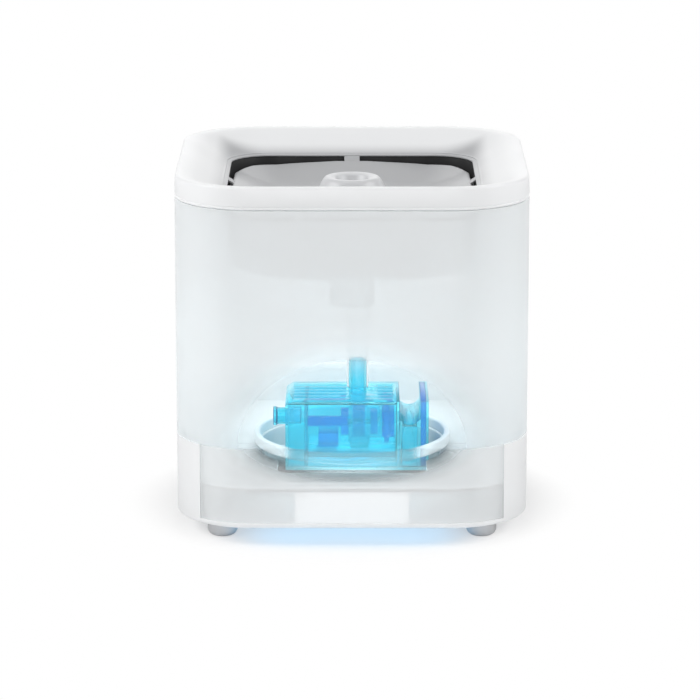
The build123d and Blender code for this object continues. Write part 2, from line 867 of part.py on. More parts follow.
def pump_bracket():
    half = pump_depth / 2
    bracket = block(casing_right, bracket_right, -half, half, casing_low, pump_high)
    saddle_left = casing_right + saddle_gap
    saddle_middle = saddle_left + saddle_width / 2
    notch_low = pump_high - saddle_depth
    sagitta = saddle_radius - math.sqrt(saddle_radius ** 2 - (saddle_width / 2) ** 2)
    notch = block(
        saddle_left, saddle_left + saddle_width, -half - over, half + over,
        notch_low + sagitta, pump_high + over,
    )
    round_bottom = Rot(90, 0, 0) * Cylinder(saddle_radius, pump_depth + 2 * over)
    round_bottom = Pos(saddle_middle, 0, notch_low + saddle_radius) * round_bottom
    lower_part = block(
        saddle_left, saddle_left + saddle_width, -half - over, half + over,
        notch_low, notch_low + sagitta + weld,
    )
    bracket -= notch
    bracket -= round_bottom & lower_part
    pocket_right = bracket_right - bracket_skin
    bracket -= block(
        pocket_right - end_plate_thickness - 2 * end_plate_gap, pocket_right,
        -half + bracket_skin, half - bracket_skin,
        casing_low, pump_high + over,
    )
    bracket -= block(
        saddle_left + bracket_skin, saddle_left + saddle_width - bracket_skin,
        -half + bracket_skin, half - bracket_skin,
        casing_low, notch_low - bracket_skin,
    )
    return bracket


def end_plate():
    half = pump_depth / 2 - bracket_skin - end_plate_gap
    right = bracket_right - bracket_skin - end_plate_gap
    return block(right - end_plate_thickness, right, -half, half, casing_low, pump_high)


def pump_base_plate():
    half = pump_depth / 2
    plate = block(casing_left, bracket_right, -half, half, pump_low, casing_low)
    return fillet(plate.edges().filter_by(Axis.Z), base_plate_corner)


def inlet_pipe():
    left = casing_left - inlet_reach
    pipe = cylinder_along_x(inlet_radius, left, casing_left + inlet_inside, inlet_z)
    pipe += cylinder_along_x(inlet_lip_radius, left, left + inlet_lip_length, inlet_z)
    return pipe - cylinder_along_x(inlet_bore_radius, left, casing_left + inlet_inside, inlet_z)


def bulkhead():
    half = pump_depth / 2 - casing_wall - seam
    plate = block(
        bulkhead_left, bulkhead_right, -half, half,
        casing_low, pump_high - casing_wall - casing_roof_extra - seam,
    )
    return plate - cylinder_along_x(suction_bore_radius, bulkhead_left, bulkhead_right, shaft_z)


def suction_tube():
    flange_right = chamber_left
    tube = cylinder_along_x(suction_radius, bulkhead_right, flange_right, shaft_z)
    tube += cylinder_along_x(
        suction_flange_radius, flange_right - suction_flange_thickness, flange_right, shaft_z)
    return tube - cylinder_along_x(suction_bore_radius, bulkhead_right, flange_right, shaft_z)


def pump_volute():
    body = cylinder_along_x(chamber_radius + chamber_wall, chamber_left, chamber_right, shaft_z)
    body += cylinder_along_x(can_radius + can_wall, chamber_right, can_right, shaft_z)
    body += cylinder_up(outlet_radius, shaft_z + chamber_radius, outlet_high, pump_x)
    body = chamfer(edges_at_height(body, outlet_high), outlet_chamfer)
    back = chamber_right - chamber_wall
    body -= cylinder_along_x(chamber_radius, chamber_left + chamber_wall, back, shaft_z)
    body -= cylinder_along_x(can_radius, back, can_right - can_wall, shaft_z)
    body -= cylinder_along_x(eye_radius, chamber_left, chamber_left + chamber_wall, shaft_z)
    return body - cylinder_up(outlet_bore_radius, shaft_z, outlet_high, pump_x)


def can_bearing():
    right = can_right - can_wall
    left = right - bearing_length
    bearing = cylinder_along_x(bearing_radius, left, right, shaft_z)
    return bearing - cylinder_along_x(shaft_radius + shaft_clearance, left, right, shaft_z)


def eye_bearing():
    """A bush held by three arms across the suction eye."""
    left = chamber_left - eye_bearing_length
    right = chamber_left
    bush = cylinder_along_x(suction_bore_radius, left, right, shaft_z)
    return bush - cylinder_along_x(shaft_radius + shaft_clearance, left, right, shaft_z)


def pump_shaft():
    left = chamber_left - shaft_front_reach
    return cylinder_along_x(shaft_radius, left, can_right - can_wall - shaft_end_gap, shaft_z)


def impeller():
    left = chamber_left + chamber_wall + impeller_clearance
    disc_left = left + blade_length
    wheel = cylinder_along_x(impeller_radius, disc_left, disc_left + impeller_disc_thickness, shaft_z)
    wheel += cylinder_along_x(impeller_hub_radius, left, disc_left, shaft_z)
    for index in range(impeller_blades):
        blade = block(
            left, disc_left, impeller_hub_radius - blade_root, impeller_radius - blade_tip_gap,
            -blade_thickness / 2, blade_thickness / 2,
        )
        wheel += Pos(0, 0, shaft_z) * Rot(360 / impeller_blades * index, 0, 0) * blade
    return wheel - cylinder_along_x(shaft_radius, left, disc_left + impeller_disc_thickness, shaft_z)


def rotor_magnet():
    left = chamber_right + magnet_clearance
    magnet = cylinder_along_x(magnet_radius, left, left + magnet_length, shaft_z)
    return magnet - cylinder_along_x(shaft_radius, left, left + magnet_length, shaft_z)


def stator_core():
    left = can_right + stator_gap
    right = left + stator_length
    core = block(left, right, -stator_half, stator_half, shaft_z - stator_half, shaft_z + stator_half)
    slot = stator_slot / 2
    yoke_left = right - stator_yoke
    core -= block(left, yoke_left, -slot, slot, shaft_z - stator_half, shaft_z + stator_half)
    return core - block(left, yoke_left, -stator_half, stator_half, shaft_z - slot, shaft_z + slot)


def stator_winding():
    left = can_right + stator_gap + winding_start
    right = left + winding_length
    reach = stator_half + seam
    ring = cylinder_along_x(winding_radius, left, right, shaft_z)
    return ring - block(left, right, -reach, reach, shaft_z - reach, shaft_z + reach)


def module_tray():
    half = pump_depth / 2 - casing_wall - seam
    low = casing_low + tray_plate_from_floor
    return block(
        bulkhead_right + seam, casing_right - casing_wall - seam, -half, half,
        low, low + tray_plate_thickness,
    )


def power_module():
    low = casing_low + tray_plate_from_floor + tray_plate_thickness
    left = bulkhead_right + module_from_bulkhead
    return block(
        left, left + module_length, -module_half_depth, module_half_depth, low, low + module_height)


def receiver_coil():
    middle = (casing_left + casing_right) / 2
    coil = cylinder_up(receiver_outer_radius, casing_low, casing_low + receiver_thickness, middle)
    return coil - cylinder_up(receiver_inner_radius, casing_low, casing_low + receiver_thickness, middle)


def chamber_saddle():
    """A cradle that carries the volute on the module tray."""
    low = casing_low + tray_plate_from_floor + tray_plate_thickness
    cradle = block(
        chamber_left + cradle_side_gap, chamber_right - cradle_side_gap, -chamber_radius, chamber_radius,
        low, shaft_z - chamber_radius / 2,
    )
    return cradle - cylinder_along_x(chamber_radius + chamber_wall, chamber_left, chamber_right, shaft_z)


def riser_tube():
    bore = outlet_radius + riser_clearance
    low = pump_high + riser_low_gap
    tube = cylinder_up(riser_outer_radius, low, riser_high, pump_x)
    return tube - cylinder_up(bore, low, riser_high, pump_x)


def riser_adapter():
    """An eccentric sleeve that brings the off-centre riser into the middle of the hub."""
    low = riser_high - adapter_height
    sleeve = cylinder_up(hub_bore_radius - adapter_clearance, low, riser_high)
    return sleeve - cylinder_up(riser_outer_radius, low, riser_high, pump_x)


# ---------------------------------------------------------------- all nodes
nodes = {
    "base_housing": base_housing,
    "front_panel": front_panel,
    "bottom_plate": bottom_plate,
    "base_screws": base_screws,
    "light_box": light_box,
    "led_board": led_board,
    "glow_lens": glow_lens,
    "coil_carrier": coil_carrier,
    "ferrite_plate": ferrite_plate,
    "transmitter_coil": transmitter_coil,
    "control_board": control_board,
    "power_socket": power_socket,
    "socket_pin": socket_pin,
    "tank_shell": tank_shell,
    "locating_ring": locating_ring,
    "top_cover": top_cover,
    "spout_cap": spout_cap,
    "filter_housing": filter_housing,
    "housing_gasket": housing_gasket,
    "filter_fleece": filter_fleece,
    "carbon_pack": carbon_pack,
    "filter_frame": filter_frame,
    "filter_foam": filter_foam,
    "pump_casing": pump_casing,
    "pump_bracket": pump_bracket,
    "end_plate": end_plate,
    "pump_base_plate": pump_base_plate,
    "inlet_pipe": inlet_pipe,
    "bulkhead": bulkhead,
    "suction_tube": suction_tube,
    "pump_volute": pump_volute,
    "can_bearing": can_bearing,
    "eye_bearing": eye_bearing,
    "pump_shaft": pump_shaft,
    "impeller": impeller,
    "rotor_magnet": rotor_magnet,
    "stator_core": stator_core,
    "stator_winding": stator_winding,
    "module_tray": module_tray,
    "power_module": power_module,
    "receiver_coil": receiver_coil,
    "chamber_saddle": chamber_saddle,
    "riser_tube": riser_tube,
    "riser_adapter": riser_adapter,
}
foot_names = {
    "foot_front_left": (-foot_centre, -foot_centre),
    "foot_front_right": (foot_centre, -foot_centre),
    "foot_rear_left": (-foot_centre, foot_centre),
    "foot_rear_right": (foot_centre, foot_centre),
}

os.makedirs("parts", exist_ok=True)
for name, make in nodes.items():
    export_step(make(), f"parts/{name}.step")
for name, (x, y) in foot_names.items():
    export_step(foot(x, y), f"parts/{name}.step")
print("nodes written:", len(nodes) + len(foot_names))
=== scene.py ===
# %% [markdown]
# # A pet water fountain, dressed for its picture
#
# The fountain is a square white base, a milky tank that nests in it, and a white cover with a
# drinking tray. The construction comes from a imported CAD model, which is the frame of this lesson.
# We keep every place and size of that frame and give each piece a better surface.
# First the frame is loaded.

# %% Load the frame
import json
import math

import bpy
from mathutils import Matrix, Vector


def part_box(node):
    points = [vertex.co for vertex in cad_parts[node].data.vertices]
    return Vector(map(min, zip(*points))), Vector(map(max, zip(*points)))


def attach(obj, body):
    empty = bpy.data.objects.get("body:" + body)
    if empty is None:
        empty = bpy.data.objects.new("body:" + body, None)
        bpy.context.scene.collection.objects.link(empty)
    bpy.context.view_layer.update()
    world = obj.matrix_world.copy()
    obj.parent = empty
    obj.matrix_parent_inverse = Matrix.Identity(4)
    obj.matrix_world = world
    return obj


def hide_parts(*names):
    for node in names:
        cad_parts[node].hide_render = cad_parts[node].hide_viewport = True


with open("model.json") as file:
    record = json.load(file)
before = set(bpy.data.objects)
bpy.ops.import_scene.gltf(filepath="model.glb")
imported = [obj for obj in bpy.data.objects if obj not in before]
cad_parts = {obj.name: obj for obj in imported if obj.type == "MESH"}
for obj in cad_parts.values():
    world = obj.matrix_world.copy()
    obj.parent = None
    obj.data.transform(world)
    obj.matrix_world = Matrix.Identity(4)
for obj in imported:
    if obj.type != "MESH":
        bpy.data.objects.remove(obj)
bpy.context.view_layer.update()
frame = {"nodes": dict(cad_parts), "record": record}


# %% [markdown]
# ## Sizes from the frame
#
# Lengths are in metres, and `mm` makes them easy to read. The heights of the joins between base,
# tank and cover are read from the boxes of the CAD nodes, so the new skins meet where the solids do.

# %% Heights and half widths
mm = 0.001

base_floor, base_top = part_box("base_housing")
tank_floor_corner, tank_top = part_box("tank_shell")
cover_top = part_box("top_cover")[1]
window_low, window_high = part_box("front_panel")

half = tank_top.x
corner = 39.5 * mm               # corner radius of the fountain's outside
smooth_below = math.radians(35)  # edges blunter than this are shaded smooth
print("half width", round(half, 4), "tank top", round(tank_top.z, 4), "cover top", round(cover_top.z, 4))


# %% [markdown]
# ## One helper for nodes, one for colour
#
# Every material is a small network of nodes. A designer thinks of a plastic by its sRGB swatch, so
# colours are written as hex and one function turns them to the linear values that light needs.
# `add` puts a node in a material, sets its values and links its inputs in one call.

# %% Colour and node helpers
def linear(swatch):
    """An sRGB hex swatch as a linear RGBA colour."""
    parts = [int(swatch[i:i + 2], 16) / 255 for i in (0, 2, 4)]
    return [p / 12.92 if p <= 0.04045 else ((p + 0.055) / 1.055) ** 2.4 for p in parts] + [1.0]


def add(material, kind, inputs=None, **settings):
    """Adds a node; an input is a value, or another node's output socket to link."""
    tree = material.node_tree
    node = tree.nodes.new(kind)
    for name, value in settings.items():
        setattr(node, name, value)
    for name, value in (inputs or {}).items():
        if isinstance(value, bpy.types.NodeSocket):
            tree.links.new(value, node.inputs[name])
        else:
            node.inputs[name].default_value = value
    return node


def new_material(name):
    """An empty material with its output node, ready for a surface."""
    material = bpy.data.materials.new(name)
    material.use_nodes = True
    material.node_tree.nodes.clear()
    add(material, "ShaderNodeOutputMaterial")
    return material


def finish_surface(material, shader):
    """Links a shader's first output to the material's surface."""
    output = material.node_tree.nodes["Material Output"]
    material.node_tree.links.new(shader.outputs[0], output.inputs["Surface"])
    return material


print("a mid grey swatch in linear light", [round(part, 3) for part in linear("808080")[:3]])


# %% [markdown]
# ## Moulded surfaces
#
# Injection-moulded plastic is never a perfect mirror. The steel mould is spark-eroded or blasted,
# which leaves a grain of a few tenths of a millimetre. Noise on Object coordinates gives that grain
# at its real size: a noise scale of 1 / grain makes one grain per cell. The finest real grain would
# vanish in a picture this small, so it is drawn a little coarser.

# %% Grain helper
def grain(material, size, strength, detail=2.0):
    """A bump from noise whose cells have a real size in metres."""
    place = add(material, "ShaderNodeTexCoord")
    noise = add(material, "ShaderNodeTexNoise",
                {"Vector": place.outputs["Object"], "Scale": 1 / size, "Detail": detail})
    return add(material, "ShaderNodeBump",
               {"Height": noise.outputs["Fac"], "Strength": strength, "Distance": 0.1 * mm})


def varied(material, low, high, size):
    """A roughness or factor that drifts between two values over a real distance."""
    place = add(material, "ShaderNodeTexCoord")
    noise = add(material, "ShaderNodeTexNoise",
                {"Vector": place.outputs["Object"], "Scale": 1 / size, "Detail": 3.0})
    return add(material, "ShaderNodeMapRange",
               {"Value": noise.outputs["Fac"], "From Min": 0.3, "From Max": 0.7,
                "To Min": low, "To Max": high})


# %% [markdown]
# ## White ABS, moulded and satin
#
# The cover, the base and the spout are ABS from a fine-blasted mould: a clean, very slightly cool
# white with soft, broad highlights. Roughness drifts a little over centimetres, as it does where
# hands polish the plastic.
# Down in the cover's dish the white is painted a shade greyer than on its band: painted shade, for the
# room's light that reaches the dish less. So the cover's colour goes from one swatch to a grey swatch of
# painted shade with the distance from the middle, measured as a rounded square, like the dish itself.

# %% White ABS
def make_white_abs(name, swatch, low, high, middle=None, near=0.0, far=1.0):
    """White ABS; with a middle swatch it turns to that colour, a painted shade, within a square round the Z
    axis.
    """
    material = new_material(name)
    bump = grain(material, 0.5 * mm, 0.06)
    rough = varied(material, low, high, 30 * mm)
    shader = add(material, "ShaderNodeBsdfPrincipled", {
        "Base Color": linear(swatch), "Roughness": rough.outputs["Result"],
        "IOR": 1.53, "Normal": bump.outputs["Normal"]})
    # painted shade: the middle swatch greys the dish, measured out from the Z axis
    if middle:
        round_off = 6 * mm
        place = add(material, "ShaderNodeTexCoord")
        size = add(material, "ShaderNodeVectorMath", {0: place.outputs["Object"]}, operation="ABSOLUTE")
        axes = add(material, "ShaderNodeSeparateXYZ", {0: size.outputs[0]})
        out = add(material, "ShaderNodeMath",
                  {0: axes.outputs["X"], 1: axes.outputs["Y"], 2: round_off}, operation="SMOOTH_MAX")
        share = add(material, "ShaderNodeMapRange", {
            "Value": out.outputs[0], "From Min": near, "From Max": far}, interpolation_type="SMOOTHSTEP")
        mix = add(material, "ShaderNodeMix", {
            0: share.outputs["Result"], 6: linear(middle), 7: linear(swatch)}, data_type="RGBA")
        material.node_tree.links.new(mix.outputs[2], shader.inputs["Base Color"])
    return finish_surface(material, shader)


white_abs = make_white_abs("white ABS, satin moulded", "F3F4F5", 0.30, 0.42)
# painted shade: the dish is grey B5B6B8 inside 61.5 mm, and the cover is white beyond 72 mm
cover_abs_painted_shade = make_white_abs("white ABS, cover with painted shade in the dish", "F5F6F7", 0.30, 0.42,
                           "B5B6B8", 61.5 * mm, 72 * mm)
# The spout is the same white ABS as the cover; its greyer swatch DCDDDF is painted shade, for the dish it
# stands in.
spout_abs_painted_shade = make_white_abs("white ABS, spout, greyed as painted shade", "DCDDDF", 0.30, 0.40)
print("made", white_abs.name, "and", spout_abs_painted_shade.name)


# %% [markdown]
# ## The milky tank
#
# The tank is natural polypropylene copolymer: white by scattering inside its wall, and clearer where
# the wall is thin and polished. Here the wall's cloudiness is a map in Object coordinates: low inside
# an egg-shaped zone that takes in the front wall before the pump, and high outside it. Each wall has
# its own zone, given by a middle point and a reach along each axis.
# The map drives Alpha. Lamps count as less cloudy than sight does, because milky plastic scatters
# light inwards that no eye can see through.

# %% Tank plastic
def make_milky(name, swatch, cloudy, clear, middle, reach):
    """Plastic that is clear near a middle point and cloudy beyond a reach along x, y and z."""
    material = new_material(name)
    place = add(material, "ShaderNodeTexCoord")
    away = add(material, "ShaderNodeVectorMath",
               {0: place.outputs["Object"], 1: middle}, operation="SUBTRACT")
    away = add(material, "ShaderNodeVectorMath", {0: away.outputs[0], 1: reach}, operation="DIVIDE")
    away = add(material, "ShaderNodeVectorMath", {0: away.outputs[0]}, operation="LENGTH")
    cloud = add(material, "ShaderNodeMapRange", {
        "Value": away.outputs["Value"], "From Min": 0.8, "From Max": 1.25,
        "To Min": clear, "To Max": cloudy}, interpolation_type="SMOOTHSTEP")
    path = add(material, "ShaderNodeLightPath")
    lamp_share = 0.3
    scattered = add(material, "ShaderNodeMapRange", {
        "Value": path.outputs["Is Shadow Ray"], "To Min": 1.0, "To Max": lamp_share})
    alpha = add(material, "ShaderNodeMath",
                {0: cloud.outputs["Result"], 1: scattered.outputs["Result"]}, operation="MULTIPLY")
    bump = grain(material, 0.8 * mm, 0.03)
    shader = add(material, "ShaderNodeBsdfPrincipled", {
        "Base Color": linear(swatch), "Roughness": 0.32, "IOR": 1.49,
        "Alpha": alpha.outputs[0], "Normal": bump.outputs["Normal"]})
    return finish_surface(material, shader)


tank_plastic = make_milky("polypropylene, milky moulded", "F4F6F7", 0.62, 0.03,
                          (0, -50 * mm, 52 * mm), (70 * mm, 62 * mm, 54 * mm))
window_plastic = make_milky("polypropylene, frosted window", "F1F3F4", 0.62, 0.03,
                            (0, -half, 55 * mm), (56 * mm, 40 * mm, 22 * mm))
ring_plastic = make_milky("polypropylene, clear ring", "F6F8F9", 0.75, 0.03,
                          (0, -50 * mm, 34 * mm), (40 * mm, 30 * mm, 40 * mm))
print("made", tank_plastic.name, window_plastic.name, ring_plastic.name)


# %% [markdown]
# ## Pump plastics
#
# The pump is clear polycarbonate with a blue tint. It stands in water, and light bends by the ratio
# of the two: 1.58 / 1.33 is about 1.19, so edges show as thin darker lines and little is distorted.
# Light is tinted each time it goes in or out, so a casing of two walls tints it four times, and a
# pale swatch is enough. The inner parts are tinted more deeply and let less through.
# A clear piece throws a tinted shadow, so that the parts inside it are lit. A little emission, a painted
# glow, stands in for the light that bounces on between so many walls, with more of it in the lowest parts,
# which get the base's light from below. The edges of clear walls, looked at along the wall through a long
# way of plastic, look nearly opaque and much deeper in colour; here that dark edge is painted, as a deep
# swatch on the bevelled edges.

# %% Tinted polycarbonate
def make_tinted(name, swatch, clear, roughness=0.03, glow=0.0):
    """Clear tinted plastic under water; clear is the share of light let straight through."""
    material = new_material(name)
    bump = grain(material, 2.5 * mm, 0.02)
    plastic = add(material, "ShaderNodeBsdfPrincipled", {
        "Base Color": linear(swatch), "Roughness": roughness, "IOR": 1.19,
        "Transmission Weight": clear, "Normal": bump.outputs["Normal"],
        "Emission Color": linear(swatch), "Emission Strength": glow})
    tint = add(material, "ShaderNodeBsdfTransparent", {"Color": linear(swatch)})
    path = add(material, "ShaderNodeLightPath")
    shader = add(material, "ShaderNodeMixShader",
                 {"Fac": path.outputs["Is Shadow Ray"], 1: plastic.outputs[0], 2: tint.outputs[0]})
    return finish_surface(material, shader)


pump_clear = make_tinted("polycarbonate, clear cyan", "74E2F0", 0.95, glow=0.06)
pump_deep = make_tinted("polycarbonate, deep blue", "0A86D8", 0.7, glow=0.06)
# painted glow: twice the emission, for the light from below
pump_low_painted_glow = make_tinted("polycarbonate, clear cyan, painted glow from below", "74E2F0", 0.95, glow=0.12)
# painted dark edge: a deep swatch for the edges of clear walls, as they look edge-on
pump_edge_painted_dark = make_tinted("polycarbonate, painted dark edge", "05587E", 0.1, glow=0.01)
print("made", pump_clear.name, pump_deep.name, pump_low_painted_glow.name, pump_edge_painted_dark.name)


# %% [markdown]
# ## The small materials
#
# Feet are silicone rubber, matt and grey. The filter is black open-cell foam, and its granules,
# felt, boards and coils only show when the fountain is taken apart, but each still gets its own
# finish: a cell pattern at the size of the foam's pores, a winding's ridges at the wire's pitch.

# %% Rubber, foam, metal and electronics
def make_plain(name, swatch, roughness, grain_size, grain_strength, metallic=0.0, glow=0.0):
    """An opaque finish with its grain's real size; glow is painted light, an emission for a piece that
    should look lit from inside.
    """
    material = new_material(name)
    bump = grain(material, grain_size, grain_strength)
    rough = varied(material, roughness * 0.85, min(1.0, roughness * 1.15), 12 * mm)
    shader = add(material, "ShaderNodeBsdfPrincipled", {
        "Base Color": linear(swatch), "Roughness": rough.outputs["Result"],
        "Metallic": metallic, "IOR": 1.5, "Normal": bump.outputs["Normal"],
        "Emission Color": linear(swatch), "Emission Strength": glow})
    return finish_surface(material, shader)


def make_cellular(name, dark, light, cell, strength):
    """Foam, granules or felt: a Voronoi of cells with a real size, coloured between two swatches."""
    material = new_material(name)
    place = add(material, "ShaderNodeTexCoord")
    cells = add(material, "ShaderNodeTexVoronoi", {"Vector": place.outputs["Object"], "Scale": 1 / cell})
    mix = add(material, "ShaderNodeMix",
              {0: cells.outputs["Distance"], 6: linear(light), 7: linear(dark)}, data_type="RGBA")
    bump = add(material, "ShaderNodeBump",
               {"Height": cells.outputs["Distance"], "Strength": strength, "Distance": 0.3 * mm})
    shader = add(material, "ShaderNodeBsdfPrincipled", {
        "Base Color": mix.outputs[2], "Roughness": 0.9, "Normal": bump.outputs["Normal"]})
    return finish_surface(material, shader)


def make_winding(name, swatch, wire):
    """Enamelled copper wire: rings at the wire's pitch."""
    material = new_material(name)
    place = add(material, "ShaderNodeTexCoord")
    rings = add(material, "ShaderNodeTexWave",
                {"Vector": place.outputs["Object"], "Scale": math.tau / 20 / wire},
                wave_type="RINGS", rings_direction="Z")
    bump = add(material, "ShaderNodeBump",
               {"Height": rings.outputs["Fac"], "Strength": 0.6, "Distance": 0.2 * mm})
    shader = add(material, "ShaderNodeBsdfPrincipled", {
        "Base Color": linear(swatch), "Roughness": 0.35, "Metallic": 0.6,
        "Normal": bump.outputs["Normal"]})
    return finish_surface(material, shader)


# %% [markdown]
# ## One material for each slot
#
# The CAD record names a slot for each node. This table gives every slot its finish, and the white block
# behind the window, the housing of the fountain's light, gets one of its own with a painted glow: emission
# makes it look lit from inside, though no lamp stands in it.

# %% The table of finishes
materials = {
    "white_abs": white_abs,
    "tank_plastic": tank_plastic,
    "window_plastic": window_plastic,
    "pump_clear_blue": pump_clear,
    "pump_deep_blue": pump_deep,
    "grey_silicone": make_plain("silicone rubber, grey matt", "D0D1D3", 0.6, 0.4 * mm, 0.1),
    "black_rubber": make_plain("silicone rubber, black matt", "161617", 0.7, 0.4 * mm, 0.1),
    "black_foam": make_cellular("polyurethane foam, black open cell", "050505", "1C1C1D", 0.8 * mm, 0.8),
    "carbon_granules": make_cellular("activated carbon granules", "070707", "242426", 1.4 * mm, 1.0),
    "white_fleece": make_cellular("polyester felt, white", "D8D8D4", "F2F2EF", 0.5 * mm, 0.5),
    "filter_plastic": make_plain("polypropylene, white moulded", "E4E6E8", 0.45, 0.6 * mm, 0.08),
    "housing_plastic": make_plain("ABS, pale grey moulded", "C9CBCD", 0.45, 0.6 * mm, 0.08),
    "clear_silicone": make_tinted("silicone rubber, clear", "FAFCFD", 1.0, 0.1),
    "copper_wire": make_winding("copper wire, enamelled", "C98A5A", 0.4 * mm),
    "steel": make_plain("steel, zinc plated", "B9BBBD", 0.3, 0.5 * mm, 0.05, metallic=1.0),
    "ferrite": make_plain("ferrite, sintered", "2A2A2C", 0.6, 0.7 * mm, 0.2),
    "board_green": make_plain("circuit board, green solder mask", "1F5A38", 0.35, 1.0 * mm, 0.05),
    "black_plastic": make_plain("nylon, black moulded", "1A1A1B", 0.45, 0.5 * mm, 0.1),
    "magnet": make_tinted("magnet, sealed in blue resin", "2F7FE0", 0.4),
    "ceramic": make_plain("alumina ceramic, ground", "E9E9E4", 0.25, 0.5 * mm, 0.03),
}
# painted glow: the light box's white ABS is given emission and is not lit by a lamp
light_box_painted_glow = make_plain("white ABS, painted glow from inside", "F3F4F5", 0.4, 0.6 * mm, 0.05, glow=0.55)
print("materials:", len(materials))


# %% [markdown]
# ## Modelling with loops
#
# Most of the fountain's shells are stacks of rounded squares: walls, rounded edges, slopes, steps.
# By hand you would add a plane, bevel its corners, and extrude. When the half width and the corner
# radius change separately, as on this cover, scaling an extrusion would spoil the corners. So each
# level gets its own bevelled plane, and neighbours are bridged. All loops have as many points, so
# the bridges stay straight. A loop whose corner radius is its whole half width is a circle.
# Bridging decides which way round two loops run from the direction between their centres. Two loops
# in one plane would leave that to chance, so the loops are bridged far apart, one above the other,
# and each is moved to its own height afterwards.

# %% The stack tool
corner_steps = 20
circle_share = 0.998         # corner radius of a round loop, as a share of its radius
loop_spread = 100 * mm       # height between two loops while they are bridged


def deselect_all():
    for item in list(bpy.context.selected_objects):
        item.select_set(False)


def make_active(piece):
    """Leaves one piece selected and active, for the next operator."""
    deselect_all()
    bpy.context.view_layer.objects.active = piece
    piece.select_set(True)


def apply_place():
    """Puts the place, turn and scale of the selected piece in its mesh."""
    bpy.ops.object.transform_apply(location=True, rotation=True, scale=True)


def select_groups(piece, *names):
    bpy.ops.mesh.select_all(action="DESELECT")
    for name in names:
        piece.vertex_groups.active = piece.vertex_groups[name]
        bpy.ops.object.vertex_group_select()


def add_loop(piece, index, level):
    """Adds one bevelled plane in edit mode, keeps its outline, and groups its points."""
    size, radius, _ = level
    bpy.ops.mesh.primitive_plane_add(size=2 * size, location=(0, 0, index * loop_spread))
    bpy.ops.mesh.bevel(offset=radius, offset_type="OFFSET", segments=corner_steps,
                       affect="VERTICES", profile=0.5)
    group = piece.vertex_groups.new(name=f"loop_{index}")
    piece.vertex_groups.active = group
    bpy.ops.object.vertex_group_assign()
    bpy.ops.mesh.delete(type="ONLY_FACE")


def square(size, radius, height):
    return (size, radius, height)


def circle(radius, height):
    return (radius, radius * circle_share, height)


def stack(name, levels, closed=False, cap_first=False, cap_last=False):
    """Bridges rounded-square loops, in order, into one skin."""
    deselect_all()
    bpy.ops.mesh.primitive_plane_add(size=mm)
    piece = bpy.context.object
    piece.name = name
    bpy.ops.object.mode_set(mode="EDIT")
    bpy.ops.mesh.select_all(action="SELECT")
    bpy.ops.mesh.delete(type="VERT")
    for index, level in enumerate(levels):
        add_loop(piece, index, level)
    pairs = [(k, k + 1) for k in range(len(levels) - 1)]
    if closed:
        pairs.append((len(levels) - 1, 0))
    for first, second in pairs:
        select_groups(piece, f"loop_{first}", f"loop_{second}")
        bpy.ops.mesh.bridge_edge_loops()
    for index, (_, _, height) in enumerate(levels):
        select_groups(piece, f"loop_{index}")
        bpy.ops.transform.translate(value=(0, 0, height - index * loop_spread))
    if cap_first:
        select_groups(piece, "loop_0")
        bpy.ops.mesh.edge_face_add()
    if cap_last:
        select_groups(piece, f"loop_{len(levels) - 1}")
        bpy.ops.mesh.edge_face_add()
    bpy.ops.mesh.select_all(action="SELECT")
    bpy.ops.mesh.remove_doubles(threshold=0.001 * mm)
    bpy.ops.mesh.normals_make_consistent(inside=False)
    bpy.ops.object.mode_set(mode="OBJECT")
    piece.vertex_groups.clear()
    return piece


def soften(piece, width, segments=3, angle=35, edge_slot=-1):
    """Rounds the sharp edges, in a material slot of their own if asked, and smooths the rest."""
    make_active(piece)
    bevel = piece.modifiers.new("edge round", "BEVEL")
    bevel.width = width
    bevel.segments = segments
    bevel.limit_method = "ANGLE"
    bevel.angle_limit = math.radians(angle)
    bevel.material = edge_slot
    bpy.ops.object.modifier_apply(modifier=bevel.name)
    bpy.ops.object.shade_smooth_by_angle(angle=math.radians(angle))
    return piece


def dress(piece, material, body, slot, *nodes):
    """Gives a finished piece its material, its body and the CAD nodes it stands for."""
    if len(piece.data.materials) < 2:
        piece.data.materials.clear()
        piece.data.materials.append(material)
    piece.data.name = piece.name
    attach(piece, body)
    if nodes:
        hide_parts(*nodes)
    print(piece.name, "faces", len(piece.data.polygons))
    return piece


# %% [markdown]
# ## Cutting one shape with another
#
# Openings such as the window in the base are cut with a Boolean modifier, applied at once so that
# the finished mesh holds the real opening. The cutter is deleted afterwards.

# %% The cutting tool
def cut(piece, tool, operation="DIFFERENCE"):
    """Cuts a piece with a tool, or unites or intersects them, and deletes the tool."""
    make_active(piece)
    boolean = piece.modifiers.new("cut", "BOOLEAN")
    boolean.operation = operation
    boolean.solver = "EXACT"
    boolean.object = tool
    bpy.ops.object.modifier_apply(modifier=boolean.name)
    bpy.data.objects.remove(tool)
    return piece


def cube_between(low, high):
    """A cube stretched between two corners, with its place in its mesh."""
    deselect_all()
    middle = [(a + b) / 2 for a, b in zip(low, high)]
    bpy.ops.mesh.primitive_cube_add(size=1, location=middle)
    tool = bpy.context.object
    tool.scale = [b - a for a, b in zip(low, high)]
    apply_place()
    return tool


# %% [markdown]
# ## The tank
#
# The tank is one moulding: a thin wall, a nest that drops into the base, a floor and a round well
# for the pump. The stack runs up the outside, over the rim and down the inside to the well's floor.
# Where square loops meet round ones, the bridge becomes the floor around the well.

# %% Build the tank
wall = 2.2 * mm
nest = half - 2.5 * mm
nest_corner = corner - 2.5 * mm
nest_low = tank_top.z - 139 * mm
floor_high = nest_low + 2.0 * mm
shoulder = nest_low + 20 * mm
well_radius = 46.5 * mm
well_floor = floor_high - 10.7 * mm

